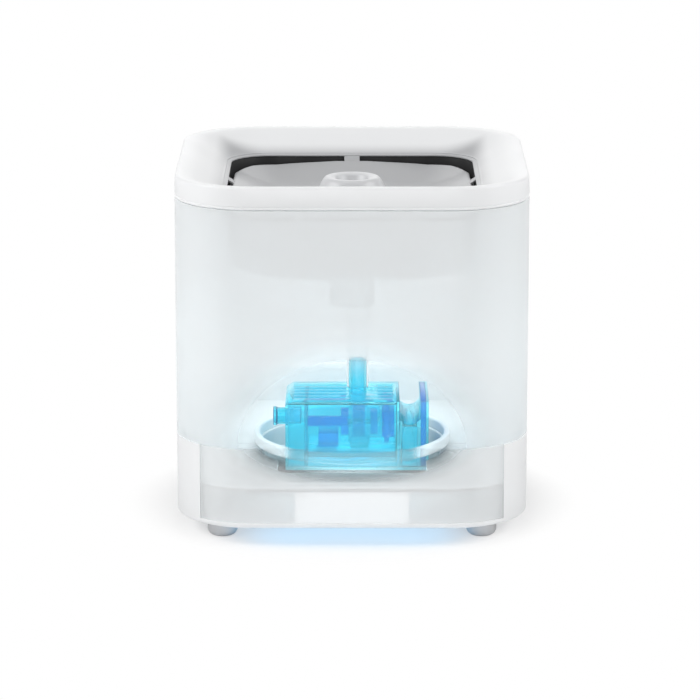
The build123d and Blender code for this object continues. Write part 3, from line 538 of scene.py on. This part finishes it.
tank = stack("tank", [
    circle(well_radius + wall, tank_floor_corner.z),
    circle(well_radius + wall, nest_low),
    square(nest - 3.0 * mm, nest_corner - 3.0 * mm, nest_low),
    square(nest - 0.9 * mm, nest_corner - 0.9 * mm, nest_low + 0.9 * mm),
    square(nest, nest_corner, nest_low + 3.0 * mm),
    square(nest, nest_corner, shoulder),
    square(half, corner, shoulder),
    square(half, corner, tank_top.z),
    square(half - wall, corner - wall, tank_top.z),
    square(half - wall, corner - wall, shoulder + wall),
    square(nest - wall, nest_corner - wall, shoulder + wall),
    square(nest - wall, nest_corner - wall, floor_high),
    circle(well_radius, floor_high),
    circle(well_radius, well_floor),
], cap_first=True, cap_last=True)
soften(tank, 0.5 * mm)
dress(tank, tank_plastic, "tank", "tank_plastic", "tank_shell")


# %% [markdown]
# ## The ring round the well
#
# A white ring on the tank's floor guides the pump into its well. It is a plain turned section, so
# four round loops and a bevel make it.

# %% Build the locating ring
ring_low, ring_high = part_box("locating_ring")
ring_outer = ring_high.x
ring_inner = ring_outer - 3.0 * mm
ring = stack("locating_ring_dressed", [
    circle(ring_outer, ring_low.z), circle(ring_outer, ring_high.z),
    circle(ring_inner, ring_high.z), circle(ring_inner, ring_low.z)], closed=True)
soften(ring, 0.9 * mm, 4)
dress(ring, ring_plastic, "tank", "white_abs", "locating_ring")


# %% [markdown]
# ## The base
#
# The base is an open-bottomed box with a deck inside that carries the tank. Its wall is cut away at
# the front between the two corners for the translucent window.

# %% Build the base housing
base_wall = 2.0 * mm
deck_high = nest_low - 0.3 * mm
deck_low = deck_high - 2.0 * mm
inner = half - base_wall
inner_corner = corner - base_wall
deck_hole = well_radius + wall + 0.8 * mm

base = stack("base", [
    square(half - 1.6 * mm, corner - 1.6 * mm, base_floor.z),
    square(half - 0.5 * mm, corner - 0.5 * mm, base_floor.z + 0.5 * mm),
    square(half, corner, base_floor.z + 1.6 * mm),
    square(half, corner, base_top.z),
    square(inner, inner_corner, base_top.z),
    square(inner, inner_corner, deck_high),
    circle(deck_hole, deck_high),
    circle(deck_hole, deck_low),
    square(inner, inner_corner, deck_low),
    square(inner, inner_corner, base_floor.z),
], closed=True)

print("base levels at the deck", round(deck_low, 4), round(deck_high, 4))


# %% [markdown]
# ## The light slot in the deck
#
# The lamps sit below the deck and have to light the pump above it, so the deck is cut back in front
# of the well. The cutter is a low stack of two rounded squares, moved forwards before it cuts.

# %% Cut the light slot
notch_half = 37.5 * mm
notch_front = deck_hole + 7.0 * mm
notch_corner = 5.0 * mm
notch = stack("notch", [
    square(notch_half, notch_corner, deck_low - mm),
    square(notch_half, notch_corner, deck_high + mm)], cap_first=True, cap_last=True)
notch.location.y = notch_half - notch_front
apply_place()
cut(base, notch)
print("light slot", round(2 * notch_half / mm), "mm wide, base faces", len(base.data.polygons))


# %% [markdown]
# ## Openings for the window and the power socket
#
# The window's opening goes through the wall alone. Its cutter is a block with the base's inside taken
# out of it, so the deck behind stays whole. Window and socket have the same small gap all round.

# %% Cut the window and the socket
part_gap = 0.15 * mm
window_half = window_high.x + part_gap
window_cut = cube_between((-window_half, -half - 5 * mm, window_low.z - part_gap),
                          (window_half, -inner / 2, base_top.z + 5 * mm))
core = stack("core", [square(inner, inner_corner, 0), square(inner, inner_corner, base_top.z + 9 * mm)],
             cap_first=True, cap_last=True)
cut(window_cut, core)
cut(base, window_cut)
socket_low, socket_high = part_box("power_socket")
socket_cut = cube_between((socket_low.x - part_gap, inner - mm, socket_low.z - part_gap),
                          (socket_high.x + part_gap, half + mm, socket_high.z + part_gap))
cut(base, socket_cut)
soften(base, 0.25 * mm, 2)
print("base faces", len(base.data.polygons))


# %% [markdown]
# ## Screw bosses
#
# Four bosses hang from the deck, and the screws come up into them from the bottom plate. Each is a
# cylinder united with the deck and then bored. They are added after the edges are softened, because
# a bevel over so many fresh seams can tear.

# %% Add the screw bosses
boss_x, boss_y = 70 * mm, 30 * mm
boss_radius, boss_tall, boss_middle = 3.8 * mm, 15.9 * mm, 19.45 * mm
hole_radius, hole_deep, hole_middle = 1.55 * mm, 12 * mm, 16 * mm


def upright_cylinder(x, y, middle, radius, tall, vertices):
    deselect_all()
    bpy.ops.mesh.primitive_cylinder_add(vertices=vertices, radius=radius, depth=tall,
                                        location=(x, y, middle))
    apply_place()
    return bpy.context.object


for x in (-boss_x, boss_x):
    for y in (-boss_y, boss_y):
        cut(base, upright_cylinder(x, y, boss_middle, boss_radius, boss_tall, 48), "UNION")
        cut(base, upright_cylinder(x, y, hole_middle, hole_radius, hole_deep, 32))
bpy.ops.object.shade_smooth_by_angle(angle=smooth_below)
dress(base, white_abs, "base", "white_abs", "base_housing")


# %% [markdown]
# ## The window
#
# The window is a strip of the same wall, frosted, from one front corner round to the other. A ring
# stack makes the whole wall and an intersection keeps the front.

# %% Build the front window
strip = stack("front_window", [
    square(half, corner, window_low.z), square(half, corner, window_high.z),
    square(inner, inner_corner, window_high.z), square(inner, inner_corner, window_low.z)],
    closed=True)
keep = cube_between((window_low.x, -half - 5 * mm, 0), (window_high.x, -inner / 2, base_top.z + 5 * mm))
cut(strip, keep, "INTERSECT")
soften(strip, 0.25 * mm, 2)
dress(strip, window_plastic, "base", "window_plastic", "front_panel")


# %% [markdown]
# ## The cover's rim
#
# The rim is the fountain's face: a low band, a soft shoulder, and a broad slope that first bulges
# and then flows into the slot. Its levels take their height from a few key points of a falling
# curve, from the shoulder in to the slot. The underside runs back a little lower, thinner at the
# slot than at the band. A fine lip and groove go round the band's lower edge, where it meets the tank.

# %% Build the rim
cover_low = tank_top.z + 0.3 * mm
rim_half = 62.4 * mm
rim_corner = 20 * mm
rim_edge = cover_top.z - 11.1 * mm
draft = 0.2 * mm
shoulder_round = 1.4 * mm
slope_steps = 14
falls = [(0.0, 0.0), (0.14, 0.03), (0.30, 0.16), (0.50, 0.42), (0.72, 0.74), (0.88, 0.93), (1.0, 1.0)]


def fall_at(share):
    """Share of the height lost at a share of the way in, straight between the key points."""
    for (a, fa), (b, fb) in zip(falls, falls[1:]):
        if share <= b:
            return fa + (fb - fa) * (share - a) / (b - a)
    return 1.0


def slope_level(share, lower=0.0):
    start = half - draft - shoulder_round
    start_corner = corner - draft - shoulder_round
    return square(start + (rim_half - start) * share,
                  start_corner + (rim_corner - start_corner) * share,
                  cover_top.z - (cover_top.z - rim_edge) * fall_at(share) - lower)


lip = [(0.35, 0.0), (0.0, 0.35), (0.0, 1.1), (0.3, 1.25), (0.3, 1.4), (0.0, 1.6)]
levels = [square(half - inset * mm, corner - inset * mm, cover_low + rise * mm) for inset, rise in lip]
for step in range(5):
    turn = math.radians(90 * step / 4)
    inset = draft + shoulder_round * (1 - math.cos(turn))
    rise = shoulder_round * (1 - math.sin(turn))
    levels.append(square(half - inset, corner - inset, cover_top.z - rise))
shares = [step / slope_steps for step in range(1, slope_steps + 1)]
levels += [slope_level(share) for share in shares]
thick_outer = 2.4 * mm
thick_edge = 0.6 * mm
for share in reversed(shares[2:]):
    thickness = thick_outer + (thick_edge - thick_outer) * share ** 3
    levels.append(slope_level(share, thickness))
band_inner = half - 2.2 * mm
levels.append(square(band_inner, corner - 2.2 * mm, cover_top.z - thick_outer))
levels.append(square(band_inner, corner - 2.2 * mm, cover_low))
rim = stack("cover_rim", levels, closed=True)
print("rim levels", len(levels))


# %% [markdown]
# ## The tray, its bridges and what hangs under the cover
#
# The drinking tray is a shallow dish. Its edge has rounder corners than the rim's slot, so the slot
# widens there. Its floor has smaller corners again, so each corner of the slope fans out as a cone.
# Four bridges join it to the rim. Under the cover a skirt locates it in the tank, and a collar holds
# the filter's bowl.

# %% Build the tray
slot_gap = 2.0 * mm
tray_half = rim_half - slot_gap
tray_corner = 30 * mm
tray_high = rim_edge - 2.65 * mm
tray_floor = tray_high - 7.5 * mm
tray_under = tray_floor - 2.2 * mm
floor_half = 42 * mm
floor_corner = 12 * mm
plug_hole = 9.2 * mm

tray = stack("tray", [
    circle(plug_hole, tray_floor), square(floor_half, floor_corner, tray_floor),
    square(tray_half - 1.8 * mm, tray_corner - 1.8 * mm, tray_high - 0.05 * mm),
    square(tray_half - 1.3 * mm, tray_corner - 1.3 * mm, tray_high),
    square(tray_half - 0.4 * mm, tray_corner - 0.4 * mm, tray_high),
    square(tray_half, tray_corner, tray_high - 0.4 * mm),
    square(tray_half, tray_corner, tray_high - 1.0 * mm),
    square(floor_half + 2.2 * mm, floor_corner + 2.2 * mm, tray_under),
    circle(plug_hole, tray_under)], closed=True)
print("tray floor", round(tray_floor, 4))


# %% [markdown]
# ## The dip in the tray's edge
#
# Between each bridge and the corner the tray's edge dips by a millimetre or two, so that water runs
# over it there. First bisect cuts give the straight sides points to move, then each point is
# lowered by the dip at its place, with more of it near the edge than on the slope.
# The dips are pairs of distance from the bridge and depth, in millimetres.

# %% Lower the tray's edge
slope_start = 0.3          # share of the tray's depth below which nothing moves
dips = [(0, 0.0), (8, 0.0), (17, 0.5), (27, 1.0), (39, 1.7), (52, 0.8), (57, 0.1), (99, 0.0)]


def dip_at(along):
    """Depth of the dip at a distance from the middle of a side."""
    for (a, low), (b, high) in zip(dips, dips[1:]):
        if along <= b * mm:
            return (low + (high - low) * (along / mm - a) / (b - a)) * mm


make_active(tray)
bpy.ops.object.mode_set(mode="EDIT")
for along in (8, 17, 27):
    for side in (-along * mm, along * mm):
        for normal in ((1, 0, 0), (0, 1, 0)):
            bpy.ops.mesh.select_all(action="SELECT")
            bpy.ops.mesh.bisect(plane_co=(side, side, 0), plane_no=normal)
bpy.ops.object.mode_set(mode="OBJECT")
for vertex in tray.data.vertices:
    share = (vertex.co.z - tray_floor) / (tray_high - tray_floor)
    if share > slope_start:
        vertex.co.z -= share * dip_at(min(abs(vertex.co.x), abs(vertex.co.y)))
print("tray points", len(tray.data.vertices))


# %% [markdown]
# ## Bridges
#
# A bridge is a short bar that slopes from the rim's edge down to the tray's edge. Each is modelled from a
# cube whose outer end is raised, and is turned to its side.

# %% Build the bridges
bridge_width = 8.0 * mm
bridge_low = tray_high - 2.0 * mm
bridge_lift = 0.1 * mm           # how far a bridge's outer top stands over the rim's edge
bridge_thin = 1.3 * mm           # how far its outer underside is raised over that edge's fall


def make_bridge(turn):
    """A bar that slopes from the tray up to the rim, turned to one of the four sides."""
    bar = cube_between((tray_half - 1.2 * mm, -bridge_width / 2, bridge_low),
                       (rim_half + 0.9 * mm, bridge_width / 2, tray_high))
    for vertex in bar.data.vertices:
        if vertex.co.x > rim_half:
            top = vertex.co.z > tray_high - mm / 10
            vertex.co.z += rim_edge - tray_high + (bridge_lift if top else bridge_thin)
    bar.rotation_euler.z = math.radians(90 * turn)
    apply_place()
    return soften(bar, 0.35 * mm, 2)


print("bridges", round(bridge_width / mm), "mm wide, from", round(tray_high, 4), "up to", round(rim_edge, 4))


# %% [markdown]
# ## Joining the cover
#
# Rim, tray, bridges, skirt and collar are one moulding on the real cover, so they are united with
# Booleans. Each part is softened first, because a bevel across a fresh Boolean seam can tear.

# %% Unite the cover
def unite(piece, *others):
    """Joins parts to a piece, one after the other."""
    for other in others:
        cut(piece, other, "UNION")
    return piece


def frame_wall(name, size, radius, thick, low, high):
    """A closed wall that follows a rounded square."""
    return stack(name, [square(size, radius, low), square(size, radius, high),
                        square(size - thick, radius - thick, high),
                        square(size - thick, radius - thick, low)], closed=True)


ceiling = cover_top.z - thick_outer
skirt_half = half - wall - 0.4 * mm
skirt_corner = corner - wall - 0.4 * mm
skirt_low = tank_top.z - 2.3 * mm
skirt = frame_wall("skirt", skirt_half, skirt_corner, 1.5 * mm, skirt_low, ceiling + 0.5 * mm)
collar_half = rim_half + 1.6 * mm + 0.4 * mm + 1.8 * mm
collar_corner = rim_corner + 3.8 * mm
collar_high = rim_edge - 0.6 * mm
collar_low = collar_high - 7.5 * mm
collar = frame_wall("collar", collar_half, collar_corner, 1.8 * mm, collar_low, collar_high + 1.5 * mm)
for part, width in ((rim, 0.3 * mm), (tray, 0.2 * mm), (skirt, 0.2 * mm), (collar, 0.3 * mm)):
    soften(part, width, 2)

print("skirt half width", round(skirt_half, 4), "collar half width", round(collar_half, 4))


# %% [markdown]
# ## Ribs and clips
#
# Thin ribs at the corners and small clips along the sides hang below the skirt and guide it into the
# tank. Each is a small block turned to its place and united with the cover at the end.

# %% Add ribs and clips, and join the cover
rib_reach, rib_half, rib_drop = 4.0 * mm, 0.7 * mm, 6.0 * mm
clip_place, clip_half, clip_thick, clip_drop = 25.5 * mm, 1.5 * mm, 1.5 * mm, 4.0 * mm
diagonal = (skirt_half - skirt_corner) * math.sqrt(2) + skirt_corner
tabs = []
for turn in range(4):
    rib = cube_between((diagonal - rib_reach, -rib_half, skirt_low - rib_drop),
                       (diagonal - 0.1 * mm, rib_half, skirt_low + mm))
    rib.rotation_euler.z = math.radians(45 + 90 * turn)
    apply_place()
    tabs.append(rib)
    for side in (-1, 1):
        clip = cube_between(
            (side * clip_place - clip_half, skirt_half - clip_thick, skirt_low - clip_drop),
            (side * clip_place + clip_half, skirt_half, skirt_low + mm))
        clip.rotation_euler.z = math.radians(90 * turn)
        apply_place()
        tabs.append(clip)

cover = unite(rim, tray, skirt, collar, *[make_bridge(turn) for turn in range(4)], *tabs)
cover.name = "cover"
bpy.ops.object.shade_smooth_by_angle(angle=math.radians(32))
dress(cover, cover_abs_painted_shade, "cover", "white_abs", "top_cover")


# %% [markdown]
# ## The spout
#
# Water wells up through a small round dome. It is a turned shape: its half section is drawn with
# points that are extruded one from the other, and then spun once round the upright axis. The same
# tool turns the feet later. A second helper draws a smooth curve through a few points.

# %% The turning tool
def turned(name, section, steps=96):
    """Spins a closed half section of (radius, height) points round the Z axis."""
    deselect_all()
    radius, height = section[0]
    bpy.ops.mesh.primitive_plane_add(size=mm, location=(radius, 0, height))
    piece = bpy.context.object
    piece.name = name
    apply_place()
    bpy.ops.object.mode_set(mode="EDIT")
    bpy.ops.mesh.select_all(action="SELECT")
    bpy.ops.mesh.merge(type="CENTER")
    for (r0, z0), (r1, z1) in zip(section, section[1:] + section[:1]):
        bpy.ops.mesh.extrude_region_move(TRANSFORM_OT_translate={"value": (r1 - r0, 0, z1 - z0)})
    bpy.ops.mesh.select_all(action="SELECT")
    bpy.ops.mesh.remove_doubles(threshold=0.001 * mm)
    bpy.ops.mesh.select_all(action="SELECT")
    bpy.ops.mesh.spin(steps=steps, angle=math.tau, center=(0, 0, 0), axis=(0, 0, 1))
    bpy.ops.mesh.select_all(action="SELECT")
    bpy.ops.mesh.remove_doubles(threshold=0.001 * mm)
    bpy.ops.mesh.normals_make_consistent(inside=False)
    bpy.ops.object.mode_set(mode="OBJECT")
    return piece


def curve_through(points, steps):
    """Points on a smooth curve through the given ones (Catmull-Rom)."""
    padded = [points[0]] + list(points) + [points[-1]]
    result = []
    for a, b, c, d in zip(padded, padded[1:], padded[2:], padded[3:]):
        for step in range(steps):
            t = step / steps
            result.append(tuple(
                0.5 * (2 * q + (r - p) * t + (2 * p - 5 * q + 4 * r - s) * t * t
                       + (3 * q - p - 3 * r + s) * t ** 3)
                for p, q, r, s in zip(a, b, c, d)))
    return result + [points[-1]]


# %% [markdown]
# ## Turning the dome
#
# Outside, the dome rises from its foot to a rounded lip and falls into a small crater, which is easy
# to give as a curve through eight points. Inside it is a plain hollow with a plug that stands in the
# filter's hub, so straight lines close the section.

# %% Turn the spout
spout_low, spout_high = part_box("spout_cap")
spout_base = spout_high.x
spout_foot = tray_floor + 0.3 * mm
lip_radius = 15.0 * mm
crater = 8.4 * mm
bore = 7.2 * mm
plug = 8.9 * mm
spout_rise = spout_high.z - spout_foot
outside = curve_through([
    (spout_base, spout_foot), (spout_base - 0.5 * mm, spout_foot + 0.13 * spout_rise),
    (lip_radius + 1.0 * mm, spout_foot + 0.62 * spout_rise),
    (lip_radius - 1.0 * mm, spout_high.z - 0.7 * mm),
    ((lip_radius + crater) / 2 + 0.2 * mm, spout_high.z), (crater + 0.6 * mm, spout_high.z - 0.7 * mm),
    (crater - 0.3 * mm, spout_high.z - 2.0 * mm), (bore, spout_high.z - 3.8 * mm)], 5)
inner_roof = spout_high.z - 3.6 * mm
spout = turned("spout", outside + [
    (bore, spout_low.z), (plug, spout_low.z), (plug, inner_roof),
    (lip_radius - 2.4 * mm, inner_roof), (spout_base - 1.8 * mm, spout_foot)])
soften(spout, 0.15 * mm, 2, 50)
dress(spout, spout_abs_painted_shade, "spout", "white_abs", "spout_cap")


# %% [markdown]
# ## Feet
#
# Each foot is a grey silicone disc with a rounded lower edge and a stem that is pushed through the bottom
# plate. Each is turned on its own and moved to its place.

# %% Turn the feet
foot_names = [name for name in frame["nodes"] if name.startswith("foot_")]
for name in foot_names:
    low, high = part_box(name)
    centre_x = (low.x + high.x) / 2
    centre_y = (low.y + high.y) / 2
    radius = (high.x - low.x) / 2
    foot_round = 3.6 * mm
    section = [(0.001 * mm, 0.0)]
    for step in range(9):
        turn = math.radians(90 * step / 8)
        section.append((radius - foot_round * (1 - math.sin(turn)), foot_round * (1 - math.cos(turn))))
    section += [(radius, base_floor.z), (3.0 * mm, base_floor.z), (3.0 * mm, high.z), (0.001 * mm, high.z)]
    foot = turned(name + "_dressed", section, 64)
    make_active(foot)
    foot.location = (centre_x, centre_y, 0)
    apply_place()
    soften(foot, 0.25 * mm, 2)
    dress(foot, materials["grey_silicone"], "base", "grey_silicone", name)


# %% [markdown]
# ## Everything else
#
# The remaining pieces sit inside the tank or the base. Their CAD meshes are loose triangles, so a
# copy of each is merged by distance, its flat triangles are joined into faces, and its sharp
# edges get the small round that a mould leaves. The CAD nodes themselves stay as they are.

# %% Copy a CAD node
record = frame["record"]
slot_of = {part["node"]: part["material_slot"] for part in record["subparts"]}
body_of = {node: body for body, nodes in record["behaviour"]["bodies"].items() for node in nodes}
print("nodes with a slot:", len(slot_of))


def merged_copy(node):
    """A copy of a CAD node's mesh, merged, with flat triangles joined."""
    deselect_all()
    source = frame["nodes"][node]
    piece = bpy.data.objects.new(node + "_dressed", source.data.copy())
    bpy.context.scene.collection.objects.link(piece)
    make_active(piece)
    bpy.ops.object.mode_set(mode="EDIT")
    bpy.ops.mesh.select_all(action="SELECT")
    bpy.ops.mesh.remove_doubles(threshold=0.002 * mm)
    bpy.ops.mesh.dissolve_limited(angle_limit=math.radians(0.5))
    bpy.ops.mesh.normals_make_consistent(inside=False)
    bpy.ops.object.mode_set(mode="OBJECT")
    return piece


# %% [markdown]
# ## The bowl's round floor
#
# The filter's bowl hangs from a rounded square collar, and draws in to a nearly round plan towards
# its floor. Bisect cuts on both axes give its flat walls enough points. Each point that lies outside
# the round plan is then drawn in to it, by a share that grows from nothing at the top to all of it
# well above the floor. The filter's layers inside follow, a few millimetres smaller.

# %% Round the bowl
bowl_reach = 63 * mm
layer_reach = 59.5 * mm
full_by = 1.6                # the plan is fully round at 1 / 1.6 of the bowl's depth


def round_the_bowl(piece, reach):
    """Draws a filter part in to a round plan with this radius, most at the bowl's floor."""
    low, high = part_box("filter_housing")
    bpy.ops.object.mode_set(mode="EDIT")
    for offset in (-48, -36, -24, -12, 0, 12, 24, 36, 48):
        for normal in ((1, 0, 0), (0, 1, 0)):
            bpy.ops.mesh.select_all(action="SELECT")
            bpy.ops.mesh.bisect(plane_co=(offset * mm, offset * mm, 0), plane_no=normal)
    bpy.ops.object.mode_set(mode="OBJECT")
    for vertex in piece.data.vertices:
        away = math.hypot(vertex.co.x, vertex.co.y)
        if away > reach:
            share = min(1.0, full_by * (high.z - vertex.co.z) / (high.z - low.z))
            scale = 1 - share * (away - reach) / away
            vertex.co.x *= scale
            vertex.co.y *= scale


# %% [markdown]
# ## Dress the remaining nodes
#
# Edge widths are in millimetres. The clear pump parts get wide bevels with the painted dark edge material in
# a second slot, and everything else has a fine one in its own material. Three low parts of the pump have the
# material with more painted glow, for the base's light from below.

# %% Dress the remaining nodes
special = {"light_box": light_box_painted_glow, "pump_base_plate": pump_low_painted_glow, "module_tray": pump_low_painted_glow,
           "receiver_coil": pump_low_painted_glow}
edge_widths = {"pump_casing": 0.7, "pump_bracket": 0.7, "end_plate": 0.4, "filter_housing": 0.4,
               "riser_adapter": 0.3, "inlet_pipe": 0.45, "pump_volute": 0.3, "bulkhead": 0.35,
               "module_tray": 0.35, "chamber_saddle": 0.35}
done = {"tank_shell", "locating_ring", "base_housing", "front_panel", "top_cover", "spout_cap"}
rest = [node for node in frame["nodes"] if node not in done and node not in foot_names]
for node in rest:
    piece = merged_copy(node)
    slot = slot_of[node]
    material = special.get(node, materials[slot])
    piece.data.materials.clear()
    piece.data.materials.append(material)
    clear_part = slot == "pump_clear_blue"
    if clear_part:
        # the second slot holds the painted dark edge
        piece.data.materials.append(pump_edge_painted_dark)
    if body_of[node] == "filter" and node != "housing_gasket":
        round_the_bowl(piece, bowl_reach if node == "filter_housing" else layer_reach)
    soften(piece, edge_widths.get(node, 0.12) * mm, 2, 40, 1 if clear_part else -1)
    dress(piece, material, body_of[node], slot, node)
print("dressed", len(rest), "inner nodes")


# %% [markdown]
# ## Floor
#
# The floor is white paper. Near the fountain it keeps shadows and the glow from below, and further
# out it fades to the pure white of the background, for the camera alone.

# %% Lay the floor
fade_start, fade_end = 0.085, 0.118
deselect_all()
bpy.ops.mesh.primitive_circle_add(vertices=128, radius=1.2, fill_type="NGON")
floor = bpy.context.object
floor.name = "floor"
floor_paint = new_material("floor, white paper")
place = add(floor_paint, "ShaderNodeTexCoord")
flat = add(floor_paint, "ShaderNodeVectorMath", {0: place.outputs["Object"]}, operation="LENGTH")
fade = add(floor_paint, "ShaderNodeMapRange", {
    "Value": flat.outputs["Value"], "From Min": fade_start, "From Max": fade_end,
    "To Min": 0.5, "To Max": 1.0}, interpolation_type="SMOOTHSTEP")
floor_path = add(floor_paint, "ShaderNodeLightPath")
plain = add(floor_paint, "ShaderNodeMath", {
    0: fade.outputs["Result"], 1: floor_path.outputs["Is Camera Ray"]}, operation="MULTIPLY")
paper = add(floor_paint, "ShaderNodeBsdfDiffuse", {"Color": linear("F7F7F7")})
white = add(floor_paint, "ShaderNodeEmission", {"Color": linear("FFFFFF"), "Strength": 1.0})
paper_mix = add(floor_paint, "ShaderNodeMixShader", {
    "Fac": plain.outputs[0], 1: paper.outputs[0], 2: white.outputs[0]})
finish_surface(floor_paint, paper_mix)
floor.data.materials.append(floor_paint)
print("floor fades from", fade_start, "to", fade_end, "m")


# %% [markdown]
# ## Lamps
#
# Two soft boxes hang high at the sides, a broad low one stands in front and a weak one behind, so
# the upright walls and the rim's slopes are bright and the tray is a shade darker.
# The milky wall keeps most of that light out. Small cool lamps inside make up for it: two in the
# tank, behind and before the pump, one at each side of the well, and one below the light slot. They
# light the pump, and the camera doesn't see them. Under the base a blue one makes the lens's glow.

# %% Set up the lamps
def lamp(name, place, size, energy, colour=(1, 1, 1), target=(0, 0, 0.09)):
    light = bpy.data.lights.new(name, "AREA")
    light.shape = "RECTANGLE"
    light.size, light.size_y = size
    light.energy = energy
    light.color = colour
    item = bpy.data.objects.new(name, light)
    bpy.context.scene.collection.objects.link(item)
    item.location = place
    aim = [t - p for t, p in zip(target, place)]
    item.rotation_euler = Vector(aim).to_track_quat("-Z", "Y").to_euler()
    return item


lamp("soft box front", (0, -1.5, 0.20), (1.2, 0.36), 5.4)
lamp("soft box left", (-1.1, -0.2, 1.0), (0.9, 0.5), 11.2)
lamp("soft box right", (1.1, -0.2, 1.0), (0.9, 0.5), 9.6)
lamp("soft box behind", (0, 1.3, 0.60), (1.2, 0.4), 1.4)
cool = linear("D8F2F8")[:3]
for name, spot, target, size, energy in (
        ("water light behind the pump", (0, 0.045, 0.115), (0, 0.02, 0.03), (0.09, 0.04), 0.038),
        ("water light before the pump", (0, -0.070, 0.100), (0, 0.02, 0.03), (0.10, 0.02), 0.020),
        ("left light in the well", (-0.042, 0, 0.075), (-0.042, 0.02, 0.03), (0.01, 0.05), 0.005),
        ("right light in the well", (0.042, 0, 0.075), (0.042, 0.02, 0.03), (0.01, 0.05), 0.005),
        ("light through the deck", (0, -0.053, 0.024), (0, -0.03, 0.06), (0.07, 0.005), 0.045)):
    inside = lamp(name, spot, size, energy, cool, target)
    inside.visible_camera = False
    inside.visible_transmission = False
    inside.visible_glossy = False
lamp("glow under the base", (0, -0.066, 0.0085), (0.10, 0.045), 0.008, linear("3CB8F2")[:3], (0, -0.066, 0))


# %% [markdown]
# ## World
#
# The world lights the fountain weakly and looks white. Camera, glossy and transmission rays see it
# at full strength, so the background, reflections and the view through clear plastic are white.

# %% Set up the world
world = bpy.data.worlds.new("studio")
bpy.context.scene.world = world
world.use_nodes = True
world.node_tree.nodes.clear()
sky_output = add(world, "ShaderNodeOutputWorld")
path = add(world, "ShaderNodeLightPath")
seen = add(world, "ShaderNodeMath",
           {0: path.outputs["Is Camera Ray"], 1: path.outputs["Is Transmission Ray"]}, operation="MAXIMUM")
seen = add(world, "ShaderNodeMath",
           {0: seen.outputs[0], 1: path.outputs["Is Glossy Ray"]}, operation="MAXIMUM")
level = add(world, "ShaderNodeMapRange", {"Value": seen.outputs[0], "To Min": 0.2, "To Max": 1.0})
sky = add(world, "ShaderNodeBackground", {"Color": (1, 1, 1, 1), "Strength": level.outputs["Result"]})
world.node_tree.links.new(sky.outputs[0], sky_output.inputs["Surface"])
print("world:", world.name)


# %% [markdown]
# ## Camera
#
# A long lens from a little above, straight in front, shows the fountain with nearly upright walls.

# %% Set up the camera
picture_width = 700
camera_data = bpy.data.cameras.new("camera")
camera_data.lens = 184.6
camera_data.sensor_width = 36
camera_data.shift_x = -2 / picture_width
camera = bpy.data.objects.new("camera", camera_data)
bpy.context.scene.collection.objects.link(camera)
camera.location = (0, -1.787, 0.5027)
camera.rotation_euler = (math.radians(76.66), 0, 0)
bpy.context.scene.camera = camera
bpy.context.scene.view_settings.view_transform = "Standard"

print("camera at", tuple(round(value, 3) for value in camera.location))
